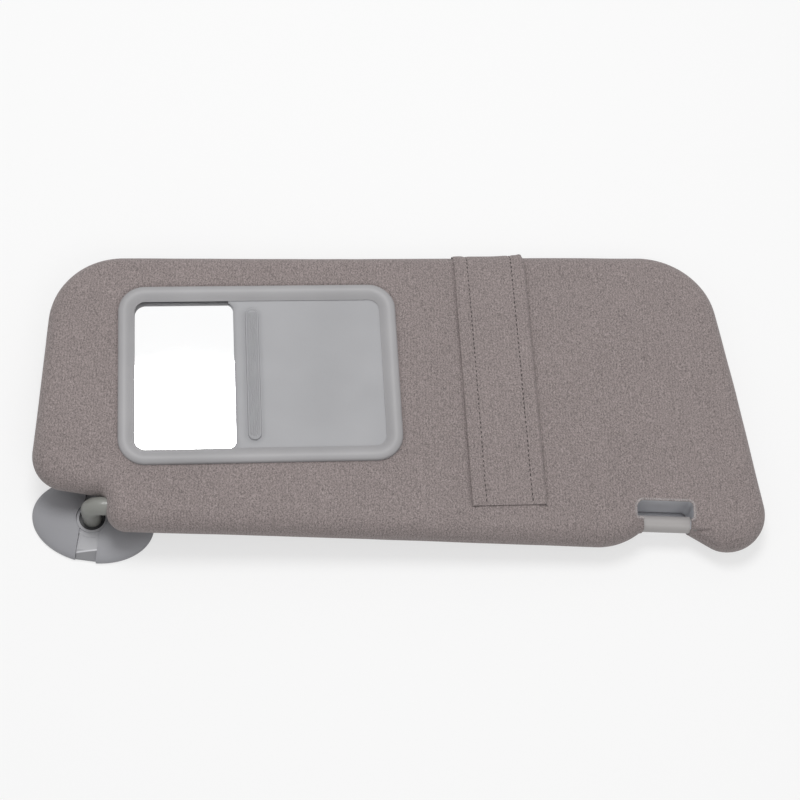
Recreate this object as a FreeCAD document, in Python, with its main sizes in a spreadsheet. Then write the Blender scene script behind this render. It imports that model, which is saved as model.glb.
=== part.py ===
import FreeCAD, Part
import math
import os
import Sketcher
from FreeCAD import Placement, Rotation, Vector

# Car sun visor, lying mirror side up on its roof bracket and on its free end.
# Row frame: origin at the centre of the bracket's mounting face, on the swivel axis. +X runs along
# the pivot axis to the free end, +Y from the hinge edge to the far edge, +Z up.
# Panel frame: origin where the pivot axis meets the swivel axis, x along the pivot axis, z out of
# the mirror side, z = 0 in the middle of the panel.

SIZES = {
    # Panel outline, panel frame: corner points of the straight edges and their rounding
    "hinge_edge": -14.5,
    "entry_x": 9.0,
    "entry_round": 13.0,
    "inner_corner_y": 6.0,
    "inner_corner_round": 5.0,
    "root_x": -34.2,
    "root_y": 12.0,
    "root_round": 20.0,
    "far_left_x": -29.8,
    "far_left_y": 154.9,
    "far_left_round": 43.0,
    "far_right_x": 361.6,
    "far_right_y": 174.8,
    "far_right_round": 45.0,
    "free_x": 392.8,
    "free_y": -15.1,
    "free_round": 23.0,
    "ramp_right_x": 360.4,
    "ramp_right_round": 17.0,
    "ramp_left_x": 302.6,
    "ramp_left_round": 40.0,
    "mouth_edge": -5.0,
    "mouth_round": 2.0,
    "panel_thick": 22.0,
    "edge_round": 10.0,
    "bevel_share": 0.62,
    # Cloth and core shells
    "cloth_thick": 1.2,
    "cloth_gap": 0.1,
    "core_wall": 2.1,
    "rib_thick": 1.6,
    "rib_pitch": 62.0,
    # Notch and hook pin
    "pin_start": 315.2,
    "pin_end": 343.4,
    "pin_dia": 9.6,
    "pin_seat": 0.8,
    "pin_bevel": 0.4,
    "notch_left": 311.0,
    "notch_right": 345.0,
    "notch_depth": 11.0,
    "notch_step": 0.2,
    "notch_round": 3.5,
    "cheek_round": 0.7,
    "liner_wall": 1.6,
    "seat_gap": 0.1,
    # Pivot arm
    "arm_height": 27.0,
    "rod_dia": 7.5,
    "sleeve_dia": 10.5,
    "bend_radius": 7.5,
    "rod_reach": 150.0,
    "sleeve_reach": 31.0,
    "running_gap": 0.06,
    "moulded_gap": 0.02,
    "flat_start": 62.0,
    "flat_length": 44.0,
    "flat_depth": 0.9,
    "rod_foot": 0.3,
    # Pose at rest
    "rest_lean": 1.1,
    # Roof bracket
    "bracket_long": 35.5,
    "bracket_short": 25.0,
    "bracket_turn": -6.5,
    "dome_height": 8.0,
    "dome_bands": 8,
    "dome_sides": 48,
    "cap_wall": 1.6,
    "cap_lift": 0.4,
    "cap_gap": 0.15,
    "plate_thick": 2.0,
    "hub_dia": 23.0,
    "hub_height": 5.8,
    "collar_dia": 18.0,
    "collar_height": 6.6,
    "collar_bore": 14.9,
    "collar_bore_floor": 5.0,
    "bearing_floor": 4.4,
    "recess_dia": 17.4,
    "recess_depth": 3.4,
    "strip_width": 11.6,
    "strip_setback": 1.2,
    "strip_break": 19.0,
    "strip_top": 6.0,
    "strip_break_height": 4.6,
    "strip_foot_height": 1.8,
    "screw_spacing": 40.0,
    "screw_hole_dia": 5.2,
    "screw_boss_dia": 11.0,
    "screw_boss_height": 2.6,
    "swivel_gap": 0.3,
    "washer_thick": 0.7,
    "washer_dia": 15.0,
    "wave_thick": 0.7,
    "wave_dia": 13.0,
    "ring_thick": 0.7,
    "ring_dia": 11.4,
    "groove_depth": 0.8,
    # Mirror unit, bezel frame
    "bezel_x": 93.2,
    "bezel_y": 81.9,
    "bezel_turn": 3.38,
    "bezel_width": 163.0,
    "bezel_depth": 113.0,
    "bezel_round": 16.0,
    "bezel_band": 9.5,
    "bezel_crown": 1.4,
    "crest_share": 0.36,
    "shoulder_share": 0.09,
    "bezel_lip_top": 0.3,
    "lip_thick": 1.5,
    "lip_cover": 3.4,
    "tray_wall": 1.6,
    "tray_gap": 0.3,
    "tray_foot": 2.6,
    "mirror_floor": 4.2,
    "tape_thick": 0.8,
    "tape_margin": 6.0,
    "glass_thick": 2.0,
    "mirror_window": 57.6,
    "glass_overlap": 6.4,
    "glass_gap": 0.3,
    "rail_height": 7.2,
    "rail_width": 2.4,
    "coring_depth": 2.6,
    "cover_gap": 0.4,
    "cover_thick": 1.8,
    "cover_end_gap": 0.8,
    "cover_round": 2.0,
    "horn_reach": 2.8,
    "grip_setback": 10.4,
    "grip_width": 9.0,
    "grip_end_gap": 5.0,
    "grip_base": 0.8,
    "grip_rib_height": 0.6,
    "grip_rib_width": 0.9,
    "grip_rib_count": 5,
    "grip_rib_pitch": 1.6,
    # Strap, bezel frame directions
    "strap_left": 118.6,
    "strap_width": 42.7,
    "strap_start": -86.0,
    "strap_thick": 1.4,
    "strap_gap": 0.1,
    # Rod housing inside the panel
    "carrier_start": 22.0,
    "rod_overrun": 4.0,
    "carrier_width": 17.0,
    "carrier_height": 14.6,
    "carrier_wall": 3.0,
    "clip_margin": 2.0,
    "clip_thick": 0.8,
    "bush_inset": 4.0,
    "bush_dia": 12.2,
    "bush_flange_dia": 13.2,
    "bush_flange": 1.5,
    "ear_inset": 8.0,
    "ear_length": 12.0,
    "ear_depth": 10.0,
    "ear_thick": 3.0,
    "carrier_screw_dia": 3.0,
    "carrier_head_dia": 6.0,
    "carrier_head_height": 2.0,
    "screw_bite": 1.9,
    "carrier_bevel": 2.0,
}

doc = FreeCAD.newDocument("sun_visor")
sheet = doc.addObject("Spreadsheet::Sheet", "Sizes")
for row, (alias, value) in enumerate(SIZES.items(), start=1):
    sheet.set(f"A{row}", alias)
    sheet.set(f"B{row}", str(value))
    sheet.setAlias(f"B{row}", alias)
doc.recompute()

nodes = []


def size(alias):
    return float(sheet.get(alias))


# The panel slopes down from the bracket until one of its free corners touches the surface it lies on
def corner_centre(before, corner, after, radius):
    point = Vector(size(corner + "_x"), size(corner + "_y"), 0)
    back = (before - point).normalize()
    ahead = (after - point).normalize()
    half = back.getAngle(ahead) / 2
    return point + (back + ahead).normalize() * (radius / math.sin(half))


def resting_droop():
    near = Vector(size("ramp_right_x"), size("free_y"), 0)
    free = Vector(size("free_x"), size("free_y"), 0)
    far = Vector(size("far_right_x"), size("far_right_y"), 0)
    root = Vector(size("far_left_x"), size("far_left_y"), 0)
    centres = [
        (corner_centre(near, "free", far, size("free_round")), size("free_round")),
        (corner_centre(free, "far_right", root, size("far_right_round")), size("far_right_round")),
    ]
    lean = math.sin(math.radians(size("rest_lean")))
    rim = size("edge_round")
    droop = 0.0
    for _ in range(30):
        steepest = []
        for centre, radius in centres:
            drop = (radius - rim) * math.hypot(math.sin(droop), lean) + size("panel_thick") / 2
            steepest.append((size("arm_height") - drop - centre.y * lean) / centre.x)
        droop = math.asin(min(steepest))
    return math.degrees(droop)


# Where the three frames lie
rest_droop = resting_droop()
panel_place = Placement(
    Vector(0, 0, size("arm_height")),
    Rotation(Vector(0, 1, 0), rest_droop) * Rotation(Vector(1, 0, 0), -size("rest_lean")),
)
bezel_in_panel = Placement(
    Vector(size("bezel_x"), size("bezel_y"), 0), Rotation(Vector(0, 0, 1), size("bezel_turn"))
)
bezel_place = panel_place * bezel_in_panel
bracket_place = Placement(Vector(0, 0, 0), Rotation(Vector(0, 0, 1), size("bracket_turn")))


def keep(item, label, place=None):
    item.Label = label
    if place is not None:
        item.Placement = place
    nodes.append(item)
    return item


def feature(label, shape, place):
    item = doc.addObject("Part::Feature", label)
    item.Shape = shape
    return keep(item, label, place)


# Sketch helpers: every corner and radius is bound to the sheet
def new_body(label):
    return doc.addObject("PartDesign::Body", label)


def sketch_on(body, name, role, height="0"):
    plane = [item for item in body.Origin.OriginFeatures if item.Role == role][0]
    sketch = body.newObject("Sketcher::SketchObject", name)
    sketch.AttachmentSupport = [(plane, "")]
    sketch.MapMode = "FlatFace"
    sketch.setExpression("AttachmentOffset.Base.z", height)
    return sketch


def bind(sketch, constraint, expression):
    number = sketch.addConstraint(constraint)
    sketch.setExpression(f"Constraints[{number}]", expression)


def closed_loop(sketch, corners):
    """Straight-sided loop, drawn on a circle and then carried to its corners by the constraints."""
    first = sketch.GeometryCount
    count = len(corners)
    spread = []
    for index in range(count):
        turn = 2 * math.pi * index / count
        spread.append(Vector(math.cos(turn), math.sin(turn), 0) * size("panel_thick"))
    for index in range(count):
        sketch.addGeometry(Part.LineSegment(spread[index], spread[(index + 1) % count]), False)
    for index in range(count):
        following = first + (index + 1) % count
        sketch.addConstraint(Sketcher.Constraint("Coincident", first + index, 2, following, 1))
    for index, (across, along) in enumerate(corners):
        start = spread[index]
        bind(sketch, Sketcher.Constraint("DistanceX", -1, 1, first + index, 1, start.x), across)
        bind(sketch, Sketcher.Constraint("DistanceY", -1, 1, first + index, 1, start.y), along)


def rectangle(sketch, left, right, bottom, top):
    closed_loop(sketch, [(left, bottom), (right, bottom), (right, top), (left, top)])


def circle(sketch, radius, across="0", along="0"):
    number = sketch.addGeometry(Part.Circle(Vector(1, 1, 0), Vector(0, 0, 1), 3), False)
    bind(sketch, Sketcher.Constraint("DistanceX", -1, 1, number, 3, 1.0), across)
    bind(sketch, Sketcher.Constraint("DistanceY", -1, 1, number, 3, 1.0), along)
    bind(sketch, Sketcher.Constraint("Radius", number, 3.0), radius)


def pad(body, sketch, name, length):
    item = body.newObject("PartDesign::Pad", name)
    item.Profile = sketch
    item.setExpression("Length", length)
    return item


def pocket(body, sketch, name, length, upward=False):
    doc.recompute()
    before = body.Tip.Shape.Volume
    item = body.newObject("PartDesign::Pocket", name)
    item.Profile = sketch
    item.Reversed = upward
    item.setExpression("Length", length)
    doc.recompute()
    if not item.Shape.Volume < before:
        raise RuntimeError(f"{name} cuts nothing")
    return item


def round_edges(body, name, radius, chosen):
    doc.recompute()
    base = body.Tip
    picked = [f"Edge{i + 1}" for i, edge in enumerate(base.Shape.Edges) if chosen(edge)]
    item = body.newObject("PartDesign::Fillet", name)
    item.Base = (base, picked)
    item.setExpression("Radius", radius)
    return item


def upright(edge):
    ends = [vertex.Point for vertex in edge.Vertexes]
    if len(ends) != 2:
        return False
    step = ends[1] - ends[0]
    return abs(step.z) > 1e-6 and math.hypot(step.x, step.y) < 1e-6


# Part primitives bound to the sheet
def move(item, across, along, up):
    for letter, expression in zip("xyz", (across, along, up)):
        item.setExpression(f"Placement.Base.{letter}", expression)
    return item


def cylinder(name, radius, height, across="0", along="0", up="0"):
    item = doc.addObject("Part::Cylinder", name)
    item.setExpression("Radius", radius)
    item.setExpression("Height", height)
    return move(item, across, along, up)


def fuse(name, items):
    item = doc.addObject("Part::MultiFuse", name)
    item.Shapes = items
    return item


def cut(name, base, tool):
    item = doc.addObject("Part::Cut", name)
    item.Base = base
    item.Tool = tool
    return item


# Outlines with rounded corners, set in by any distance
def inset_corners(corners, inset):
    count = len(corners)
    moved = []
    for index in range(count):
        before, here, after = corners[index - 1], corners[index], corners[(index + 1) % count]
        first = (here[0] - before[0]).normalize()
        second = (after[0] - here[0]).normalize()
        first_in = Vector(-first.y, first.x, 0)
        second_in = Vector(-second.y, second.x, 0)
        # The two shifted edges meet along the bisector of their inward normals
        bisector = first_in + second_in
        step = bisector * (2 * inset / bisector.Length**2)
        turn = first.cross(second).z
        radius = here[1] - inset if turn > 0 else here[1] + inset
        moved.append((here[0] + step, max(radius, 0.2)))
    return moved


def rounded_wire(corners):
    count = len(corners)
    ends = []
    arcs = []
    for index in range(count):
        point, radius = corners[index]
        back = (corners[index - 1][0] - point).normalize()
        ahead = (corners[(index + 1) % count][0] - point).normalize()
        half = back.getAngle(ahead) / 2
        reach = radius / math.tan(half)
        centre = point + (back + ahead).normalize() * (radius / math.sin(half))
        middle = centre + (point - centre).normalize() * radius
        start = point + back * reach
        finish = point + ahead * reach
        ends.append((start, finish))
        arcs.append(Part.Arc(start, middle, finish).toShape())
    edges = []
    for index in range(count):
        start = ends[index - 1][1]
        finish = ends[index][0]
        if (finish - start).Length > 1e-6:
            edges.append(Part.LineSegment(start, finish).toShape())
        edges.append(arcs[index])
    return Part.Wire(edges)


def upright_solid(wire, low, high):
    solid = Part.Face(wire).extrude(Vector(0, 0, high - low))
    solid.translate(Vector(0, 0, low))
    return solid


def panel_corners():
    mouth = size("mouth_edge")
    return [
        (Vector(size("entry_x"), size("hinge_edge"), 0), size("entry_round")),
        (Vector(size("ramp_left_x"), size("hinge_edge"), 0), size("ramp_left_round")),
        (Vector(size("pin_start"), mouth, 0), size("mouth_round")),
        (Vector(size("pin_end"), mouth, 0), size("mouth_round")),
        (Vector(size("ramp_right_x"), size("free_y"), 0), size("ramp_right_round")),
        (Vector(size("free_x"), size("free_y"), 0), size("free_round")),
        (Vector(size("far_right_x"), size("far_right_y"), 0), size("far_right_round")),
        (Vector(size("far_left_x"), size("far_left_y"), 0), size("far_left_round")),
        (Vector(size("root_x"), size("root_y"), 0), size("root_round")),
        (Vector(size("entry_x"), size("inner_corner_y"), 0), size("inner_corner_round")),
    ]


def rounded_slab(inset):
    """Solid panel set in by a distance on every side, with fully rounded rims."""
    half = size("panel_thick") / 2 - inset
    wire = rounded_wire(inset_corners(panel_corners(), inset))
    solid = upright_solid(wire, -half, half)
    rims = [edge for edge in solid.Edges if abs(abs(edge.BoundBox.ZMin) - half) < 1e-6
            and abs(edge.BoundBox.ZMax - edge.BoundBox.ZMin) < 1e-6]
    return solid.makeFillet(size("edge_round") - inset, rims)


def bevelled_slab(inset):
    """The same panel for the shells under the cloth, with one broad bevel along each rim."""
    half = size("panel_thick") / 2 - inset
    wire = rounded_wire(inset_corners(panel_corners(), inset))
    solid = upright_solid(wire, -half, half)
    rims = [edge for edge in solid.Edges if abs(abs(edge.BoundBox.ZMin) - half) < 1e-6
            and abs(edge.BoundBox.ZMax - edge.BoundBox.ZMin) < 1e-6]
    return solid.makeChamfer((size("edge_round") - inset) * size("bevel_share"), rims)


def notch_corners(grow):
    """The notch, open at the hinge edge and wider behind the two cheeks that hold the pin."""
    low = size("hinge_edge") - size("panel_thick")
    deep = size("notch_depth") + grow
    left = size("notch_left") - grow
    right = size("notch_right") + grow
    left_cheek = size("pin_start") - grow
    right_cheek = size("pin_end") + grow
    step = size("notch_step") - grow
    corner = size("notch_round") + grow
    fine = size("cheek_round")
    return [
        (Vector(left_cheek, low, 0), fine),
        (Vector(right_cheek, low, 0), fine),
        (Vector(right_cheek, step, 0), fine),
        (Vector(right, step, 0), fine),
        (Vector(right, deep, 0), corner),
        (Vector(left, deep, 0), corner),
        (Vector(left, step, 0), 2 * fine),
        (Vector(left_cheek, step, 0), fine),
    ]


def notch_solid(grow):
    half = size("panel_thick")
    return upright_solid(rounded_wire(notch_corners(grow)), -half, half)


def rounded_box(width, depth, corner, low, high):
    x, y = width / 2, depth / 2
    points = [(-x, -y), (x, -y), (x, y), (-x, y)]
    wire = rounded_wire([(Vector(px, py, 0), corner) for px, py in points])
    return upright_solid(wire, low, high)


def pin_room(gap):
    """Straight bore for the hook pin and its seats, with a gap all round."""
    seat = size("pin_seat") + gap
    return Part.makeCylinder(
        size("pin_dia") / 2 + gap, size("pin_end") - size("pin_start") + 2 * seat,
        Vector(size("pin_start") - seat, 0, 0), Vector(1, 0, 0),
    )


def in_panel(shape):
    moved = shape.copy()
    moved.Placement = bezel_in_panel * moved.Placement
    return moved


# Sizes that several pieces share
cloth_face = size("panel_thick") / 2
core_inset = size("cloth_thick") + size("cloth_gap")
hollow_inset = core_inset + size("core_wall")
opening_width = size("bezel_width") - 2 * size("bezel_band")
opening_depth = size("bezel_depth") - 2 * size("bezel_band")
cavity_width = opening_width + 2 * size("lip_cover")
cavity_depth = opening_depth + 2 * size("lip_cover")
tray_width = cavity_width + 2 * size("tray_wall")
tray_depth = cavity_depth + 2 * size("tray_wall")
lip_under = cloth_face + size("bezel_lip_top") - size("lip_thick")
tray_top = lip_under - size("seat_gap")
cover_top = lip_under - size("swivel_gap")
cover_lead = size("mirror_window") - opening_width / 2
tray_corner = size("bezel_round") - size("bezel_band")
far_side = size("far_right_y") + size("panel_thick")

carrier_low = -size("carrier_height") / 2
carrier_end = size("rod_reach") - size("rod_overrun")


# Cloth cover: thin knitted skin with a window, the notch and the arm's way in
def cloth_cover():
    skin = rounded_slab(0).cut(bevelled_slab(size("cloth_thick")))
    window = rounded_box(
        tray_width + 2 * size("tray_gap"), tray_depth + 2 * size("tray_gap"),
        tray_corner, 0, cloth_face + 1,
    )
    skin = skin.cut(in_panel(window))
    skin = skin.cut(notch_solid(0)).cut(pin_room(size("seat_gap")))
    way_in = Part.makeCylinder(
        size("sleeve_dia") / 2 + size("swivel_gap"), size("carrier_start"), Vector(0, 0, 0), Vector(1, 0, 0)
    )
    return skin.cut(way_in)


def screw_spots():
    """Where the two screws hold the rod housing's ears."""
    y = size("carrier_width") / 2 + size("ear_depth") / 2
    first = size("carrier_start") + size("ear_inset") + size("ear_length") / 2
    last = carrier_end - size("ear_inset") - size("ear_length") / 2
    return [(first, y), (last, y)]


# Core: two ribbed half shells that meet at the panel's middle plane
def rib_grid(hollow, low, high):
    bars = []
    thick = size("rib_thick")
    reach = size("free_x") - size("root_x")
    across_count = int(reach // size("rib_pitch"))
    for index in range(1, across_count + 1):
        x = size("root_x") + index * size("rib_pitch")
        bars.append(Part.makeBox(thick, far_side * 1.5, high - low, Vector(x, size("hinge_edge"), low)))
    along_count = int(far_side // size("rib_pitch"))
    for index in range(1, along_count + 1):
        y = size("hinge_edge") + index * size("rib_pitch")
        bars.append(Part.makeBox(reach * 1.2, thick, high - low, Vector(size("root_x"), y, low)))
    return bars[0].multiFuse(bars[1:]).common(hollow)


def core_half(front):
    reach = size("free_x") - size("root_x")
    side = Part.makeBox(
        2 * reach, 2 * far_side, size("panel_thick"),
        Vector(size("root_x") - reach / 2, -far_side / 2, 0 if front else -size("panel_thick")),
    )
    hollow = bevelled_slab(hollow_inset).common(side)
    shell = bevelled_slab(core_inset).common(side).cut(hollow)
    depth = cloth_face - core_inset
    ribs = rib_grid(hollow, 0 if front else -depth, depth if front else 0)
    room = size("seat_gap")
    carrier_room = Part.makeBox(
        carrier_end - size("entry_x") + 2 * size("ear_thick"),
        size("carrier_width") + 2 * room + 2 * size("ear_depth"),
        size("carrier_height") + 2 * room,
        Vector(size("entry_x") - size("ear_thick"), -size("carrier_width") / 2 - room, carrier_low - room),
    )
    shell = shell.fuse(ribs)
    shell = shell.cut(carrier_room.common(bevelled_slab(hollow_inset)))
    if front:
        tray_room = rounded_box(
            tray_width + 2 * size("tray_gap"), tray_depth + 2 * size("tray_gap"),
            tray_corner, size("tray_foot") - size("tray_gap"), cloth_face + 1,
        )
        shell = shell.cut(in_panel(tray_room))
    shell = shell.cut(notch_solid(size("liner_wall") + size("seat_gap")))
    bush_room = Part.makeCylinder(
        size("bush_dia") / 2 + size("seat_gap"), size("carrier_start"), Vector(0, 0, 0), Vector(1, 0, 0)
    )
    shell = shell.cut(bush_room)
    flange_room = Part.makeCylinder(
        size("bush_flange_dia") / 2 + size("seat_gap"),
        size("entry_x") + size("bush_inset") + size("bush_flange") + size("seat_gap"),
        Vector(0, 0, 0), Vector(1, 0, 0),
    )
    shell = shell.cut(flange_room)
    if not front:
        for x, y in screw_spots():
            pilot = Part.makeCylinder(
                size("carrier_screw_dia") / 2 + size("moulded_gap"), size("screw_bite") + room,
                Vector(x, y, carrier_low - size("screw_bite") - room),
            )
            shell = shell.cut(pilot)
    return shell


feature("cloth_cover", cloth_cover(), panel_place)
feature("core_front", core_half(True), panel_place)
feature("core_rear", core_half(False), panel_place)


# Strap: a sewn band that goes over the far edge and down the rear
def strap():
    outer = rounded_slab(-size("strap_gap") - size("strap_thick"))
    inner = rounded_slab(-size("strap_gap"))
    band = Part.makeBox(
        size("strap_width"), far_side * 2, 2 * size("panel_thick"),
        Vector(size("strap_left"), size("strap_start"), -size("panel_thick")),
    )
    return outer.cut(inner).common(in_panel(band))


feature("strap", strap(), panel_place)


# Notch liner with open sockets for the pin, and the pin across its mouth
def pin_holder():
    outside = notch_solid(size("liner_wall")).common(bevelled_slab(core_inset))
    liner = outside.cut(notch_solid(0))
    liner = liner.cut(pin_room(size("seat_gap")))
    return max(liner.Solids, key=lambda solid: solid.Volume)


feature("pin_holder", pin_holder(), panel_place)

pin = cylinder(
    "pin_stock", "Sizes.pin_dia / 2", "Sizes.pin_end - Sizes.pin_start + 2 * Sizes.pin_seat",
    "Sizes.pin_start - Sizes.pin_seat",
)
pin.Placement.Rotation = Rotation(Vector(0, 1, 0), 90)
doc.recompute()
pin_edges = [i + 1 for i, edge in enumerate(pin.Shape.Edges) if len(edge.Vertexes) == 1]
hook_pin = doc.addObject("Part::Chamfer", "hook_pin")
hook_pin.Base = pin
hook_pin.Edges = [(i, size("pin_bevel"), size("pin_bevel")) for i in pin_edges]
keep(hook_pin, "hook_pin", panel_place)


# Mirror bezel: one profile carried round a rounded rectangle
def mirror_bezel():
    band = size("bezel_band")
    base = cloth_face
    crown = base + size("bezel_crown")
    lip_top = base + size("bezel_lip_top")
    inner = size("bezel_width") / 2 - band
    outer = size("bezel_width") / 2
    lip_outer = tray_width / 2
    profile = [
        Vector(outer, 0, base), Vector(lip_outer, 0, base), Vector(lip_outer, 0, lip_under),
        Vector(inner, 0, lip_under), Vector(inner, 0, lip_top),
    ]
    edges = [Part.LineSegment(profile[i], profile[i + 1]).toShape() for i in range(len(profile) - 1)]
    crest = Vector(outer - band * size("crest_share"), 0, crown)
    shoulder = Vector(outer - band * size("shoulder_share"), 0, base + size("bezel_crown") * 0.72)
    edges.append(Part.LineSegment(Vector(inner, 0, lip_top), crest).toShape())
    edges.append(Part.Arc(crest, shoulder, Vector(outer, 0, base)).toShape())
    section = Part.Wire(edges)
    path = rounded_wire([
        (Vector(x * outer, y * size("bezel_depth") / 2, 0), size("bezel_round"))
        for x, y in ((-1, -1), (1, -1), (1, 1), (-1, 1))
    ])
    # The path starts in the middle of the right side, where the section lies
    sweep = Part.Wire(Part.sortEdges(path.Edges)[0]).makePipeShell([section], True, False)
    return sweep


bezel_shape = mirror_bezel()
feature("mirror_bezel", bezel_shape, bezel_place)

# Mirror tray: deep floor under the glass, raised plain floor under the open cover
tray = new_body("mirror_tray")
outline = sketch_on(tray, "tray_outline", "XY_Plane", "Sizes.tray_foot")
TRAY_X = "(Sizes.bezel_width / 2 - Sizes.bezel_band + Sizes.lip_cover + Sizes.tray_wall)"
TRAY_Y = "(Sizes.bezel_depth / 2 - Sizes.bezel_band + Sizes.lip_cover + Sizes.tray_wall)"
TRAY_TOP = "(Sizes.panel_thick / 2 + Sizes.bezel_lip_top - Sizes.lip_thick - Sizes.seat_gap)"
CAVITY_X = f"({TRAY_X} - Sizes.tray_wall)"
CAVITY_Y = f"({TRAY_Y} - Sizes.tray_wall)"
COVER_LEAD = "(Sizes.mirror_window - (Sizes.bezel_width / 2 - Sizes.bezel_band))"
GLASS_RIGHT = f"({COVER_LEAD} + Sizes.glass_overlap)"
rectangle(outline, f"-{TRAY_X}", TRAY_X, f"-{TRAY_Y}", TRAY_Y)
pad(tray, outline, "tray_block", f"{TRAY_TOP} - Sizes.tray_foot")
round_edges(tray, "tray_corners", "Sizes.bezel_round - Sizes.bezel_band", upright)
runway = sketch_on(tray, "runway", "XY_Plane", TRAY_TOP)
rectangle(runway, f"-{CAVITY_X}", CAVITY_X, f"-{CAVITY_Y}", CAVITY_Y)
pocket(tray, runway, "runway_pocket", f"{TRAY_TOP} - Sizes.rail_height")
seat = sketch_on(tray, "mirror_seat", "XY_Plane", "Sizes.rail_height")
GLASS_Y = f"({CAVITY_Y} - Sizes.rail_width)"
GLASS_LEFT = CAVITY_X
rectangle(
    seat, f"-{GLASS_LEFT}", f"{GLASS_RIGHT} + Sizes.glass_gap", f"-{GLASS_Y}", GLASS_Y
)
pocket(tray, seat, "mirror_pocket", "Sizes.rail_height - Sizes.mirror_floor")
coring = sketch_on(tray, "coring", "XY_Plane", "Sizes.tray_foot")
rectangle(
    coring, f"{GLASS_RIGHT} + Sizes.glass_gap + Sizes.tray_wall", f"{CAVITY_X} - Sizes.tray_wall",
    f"-({CAVITY_Y} - Sizes.tray_wall)", f"{CAVITY_Y} - Sizes.tray_wall",
)
pocket(tray, coring, "underside_coring", "Sizes.coring_depth", upward=True)
keep(tray, "mirror_tray", bezel_place)


def flat_plate(label, left, right, low, high, foot, thick):
    body = new_body(label)
    sketch = sketch_on(body, label + "_outline", "XY_Plane", foot)
    rectangle(sketch, left, right, low, high)
    pad(body, sketch, label + "_plate", thick)
    return body


PANE_LEFT = f"-({GLASS_LEFT} - Sizes.glass_gap)"
PANE_Y = f"({GLASS_Y} - Sizes.glass_gap)"
tape = flat_plate(
    "mirror_tape", f"{PANE_LEFT} + Sizes.tape_margin", f"{GLASS_RIGHT} - Sizes.tape_margin",
    f"-({PANE_Y} - Sizes.tape_margin)", f"{PANE_Y} - Sizes.tape_margin",
    "Sizes.mirror_floor", "Sizes.tape_thick",
)
keep(tape, "mirror_tape", bezel_place)
glass = flat_plate(
    "mirror_glass", PANE_LEFT, GLASS_RIGHT, f"-{PANE_Y}", PANE_Y,
    "Sizes.mirror_floor + Sizes.tape_thick", "Sizes.glass_thick",
)
keep(glass, "mirror_glass", bezel_place)

# Sliding cover with a ribbed grip along its leading edge
COVER_TOP = "(Sizes.panel_thick / 2 + Sizes.bezel_lip_top - Sizes.lip_thick - Sizes.swivel_gap)"
COVER_Y = f"({CAVITY_Y} - Sizes.cover_gap)"
cover = flat_plate(
    "slide_cover", f"{COVER_LEAD} - Sizes.horn_reach", f"{CAVITY_X} - Sizes.cover_end_gap",
    f"-{COVER_Y}", COVER_Y, f"{COVER_TOP} - Sizes.cover_thick", "Sizes.cover_thick",
)
round_edges(cover, "cover_corners", "Sizes.cover_round", upright)
# The leading edge is set back between two horns, so the open mirror keeps four rounded corners
lead_cut = sketch_on(cover, "lead_cut", "XY_Plane", COVER_TOP)
OPENING_Y = "(Sizes.bezel_depth / 2 - Sizes.bezel_band)"
rectangle(
    lead_cut, f"{COVER_LEAD} - 2 * Sizes.horn_reach", COVER_LEAD, f"-{OPENING_Y}", OPENING_Y
)
pocket(cover, lead_cut, "lead_cut_pocket", "Sizes.cover_thick")


def inner_horn(edge):
    spot = edge.BoundBox.Center
    return upright(edge) and abs(spot.x - cover_lead) < 1e-4 and abs(abs(spot.y) - opening_depth / 2) < 1e-4


round_edges(cover, "horn_rounding", "Sizes.horn_reach - Sizes.cover_gap", inner_horn)
grip = sketch_on(cover, "grip_outline", "XY_Plane", COVER_TOP)
GRIP_X = f"({COVER_LEAD} + Sizes.grip_setback)"
GRIP_Y = f"({OPENING_Y} - Sizes.grip_end_gap)"
rectangle(
    grip, f"{GRIP_X} - Sizes.grip_width / 2", f"{GRIP_X} + Sizes.grip_width / 2", f"-{GRIP_Y}", GRIP_Y
)
pad(cover, grip, "grip_bar", "Sizes.grip_base")


def grip_corner(edge):
    return upright(edge) and edge.BoundBox.ZMin > cover_top - 1e-4


round_edges(cover, "grip_ends", "Sizes.grip_width / 2 - Sizes.seat_gap", grip_corner)
grip_rib = sketch_on(cover, "grip_rib", "XY_Plane", f"{COVER_TOP} + Sizes.grip_base")
FIRST_RIB = f"{GRIP_X} - Sizes.grip_rib_pitch * (Sizes.grip_rib_count - 1) / 2"
rectangle(
    grip_rib, f"{FIRST_RIB} - Sizes.grip_rib_width / 2", f"{FIRST_RIB} + Sizes.grip_rib_width / 2",
    f"-({GRIP_Y} - Sizes.grip_width / 2)", f"{GRIP_Y} - Sizes.grip_width / 2",
)
rib = pad(cover, grip_rib, "grip_rib_pad", "Sizes.grip_rib_height")
rib_row = cover.newObject("PartDesign::LinearPattern", "grip_rib_row")
rib_row.Originals = [rib]
rib_row.Direction = (grip_rib, ["H_Axis"])
rib_row.setExpression("Length", "Sizes.grip_rib_pitch * (Sizes.grip_rib_count - 1)")
rib_row.setExpression("Occurrences", "Sizes.grip_rib_count")
cover.Tip = rib_row
keep(cover, "slide_cover", bezel_place)

# Roof bracket: plate, hub with a stepped bore, centre strips and screw bosses
plate_edge = doc.addObject("Part::Ellipse", "plate_edge")
PLATE_SHARE = "(sqrt(1 - (Sizes.plate_thick / (Sizes.dome_height - Sizes.cap_wall)) ^ 2) - 0.01)"
for radius, whole in (("MajorRadius", "Sizes.bracket_long"), ("MinorRadius", "Sizes.bracket_short")):
    plate_edge.setExpression(radius, f"({whole} - Sizes.cap_wall) * {PLATE_SHARE} - Sizes.cap_gap")
plate = doc.addObject("Part::Extrusion", "plate")
plate.Base = plate_edge
plate.DirMode = "Normal"
plate.Solid = True
plate.setExpression("LengthFwd", "Sizes.plate_thick")

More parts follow.
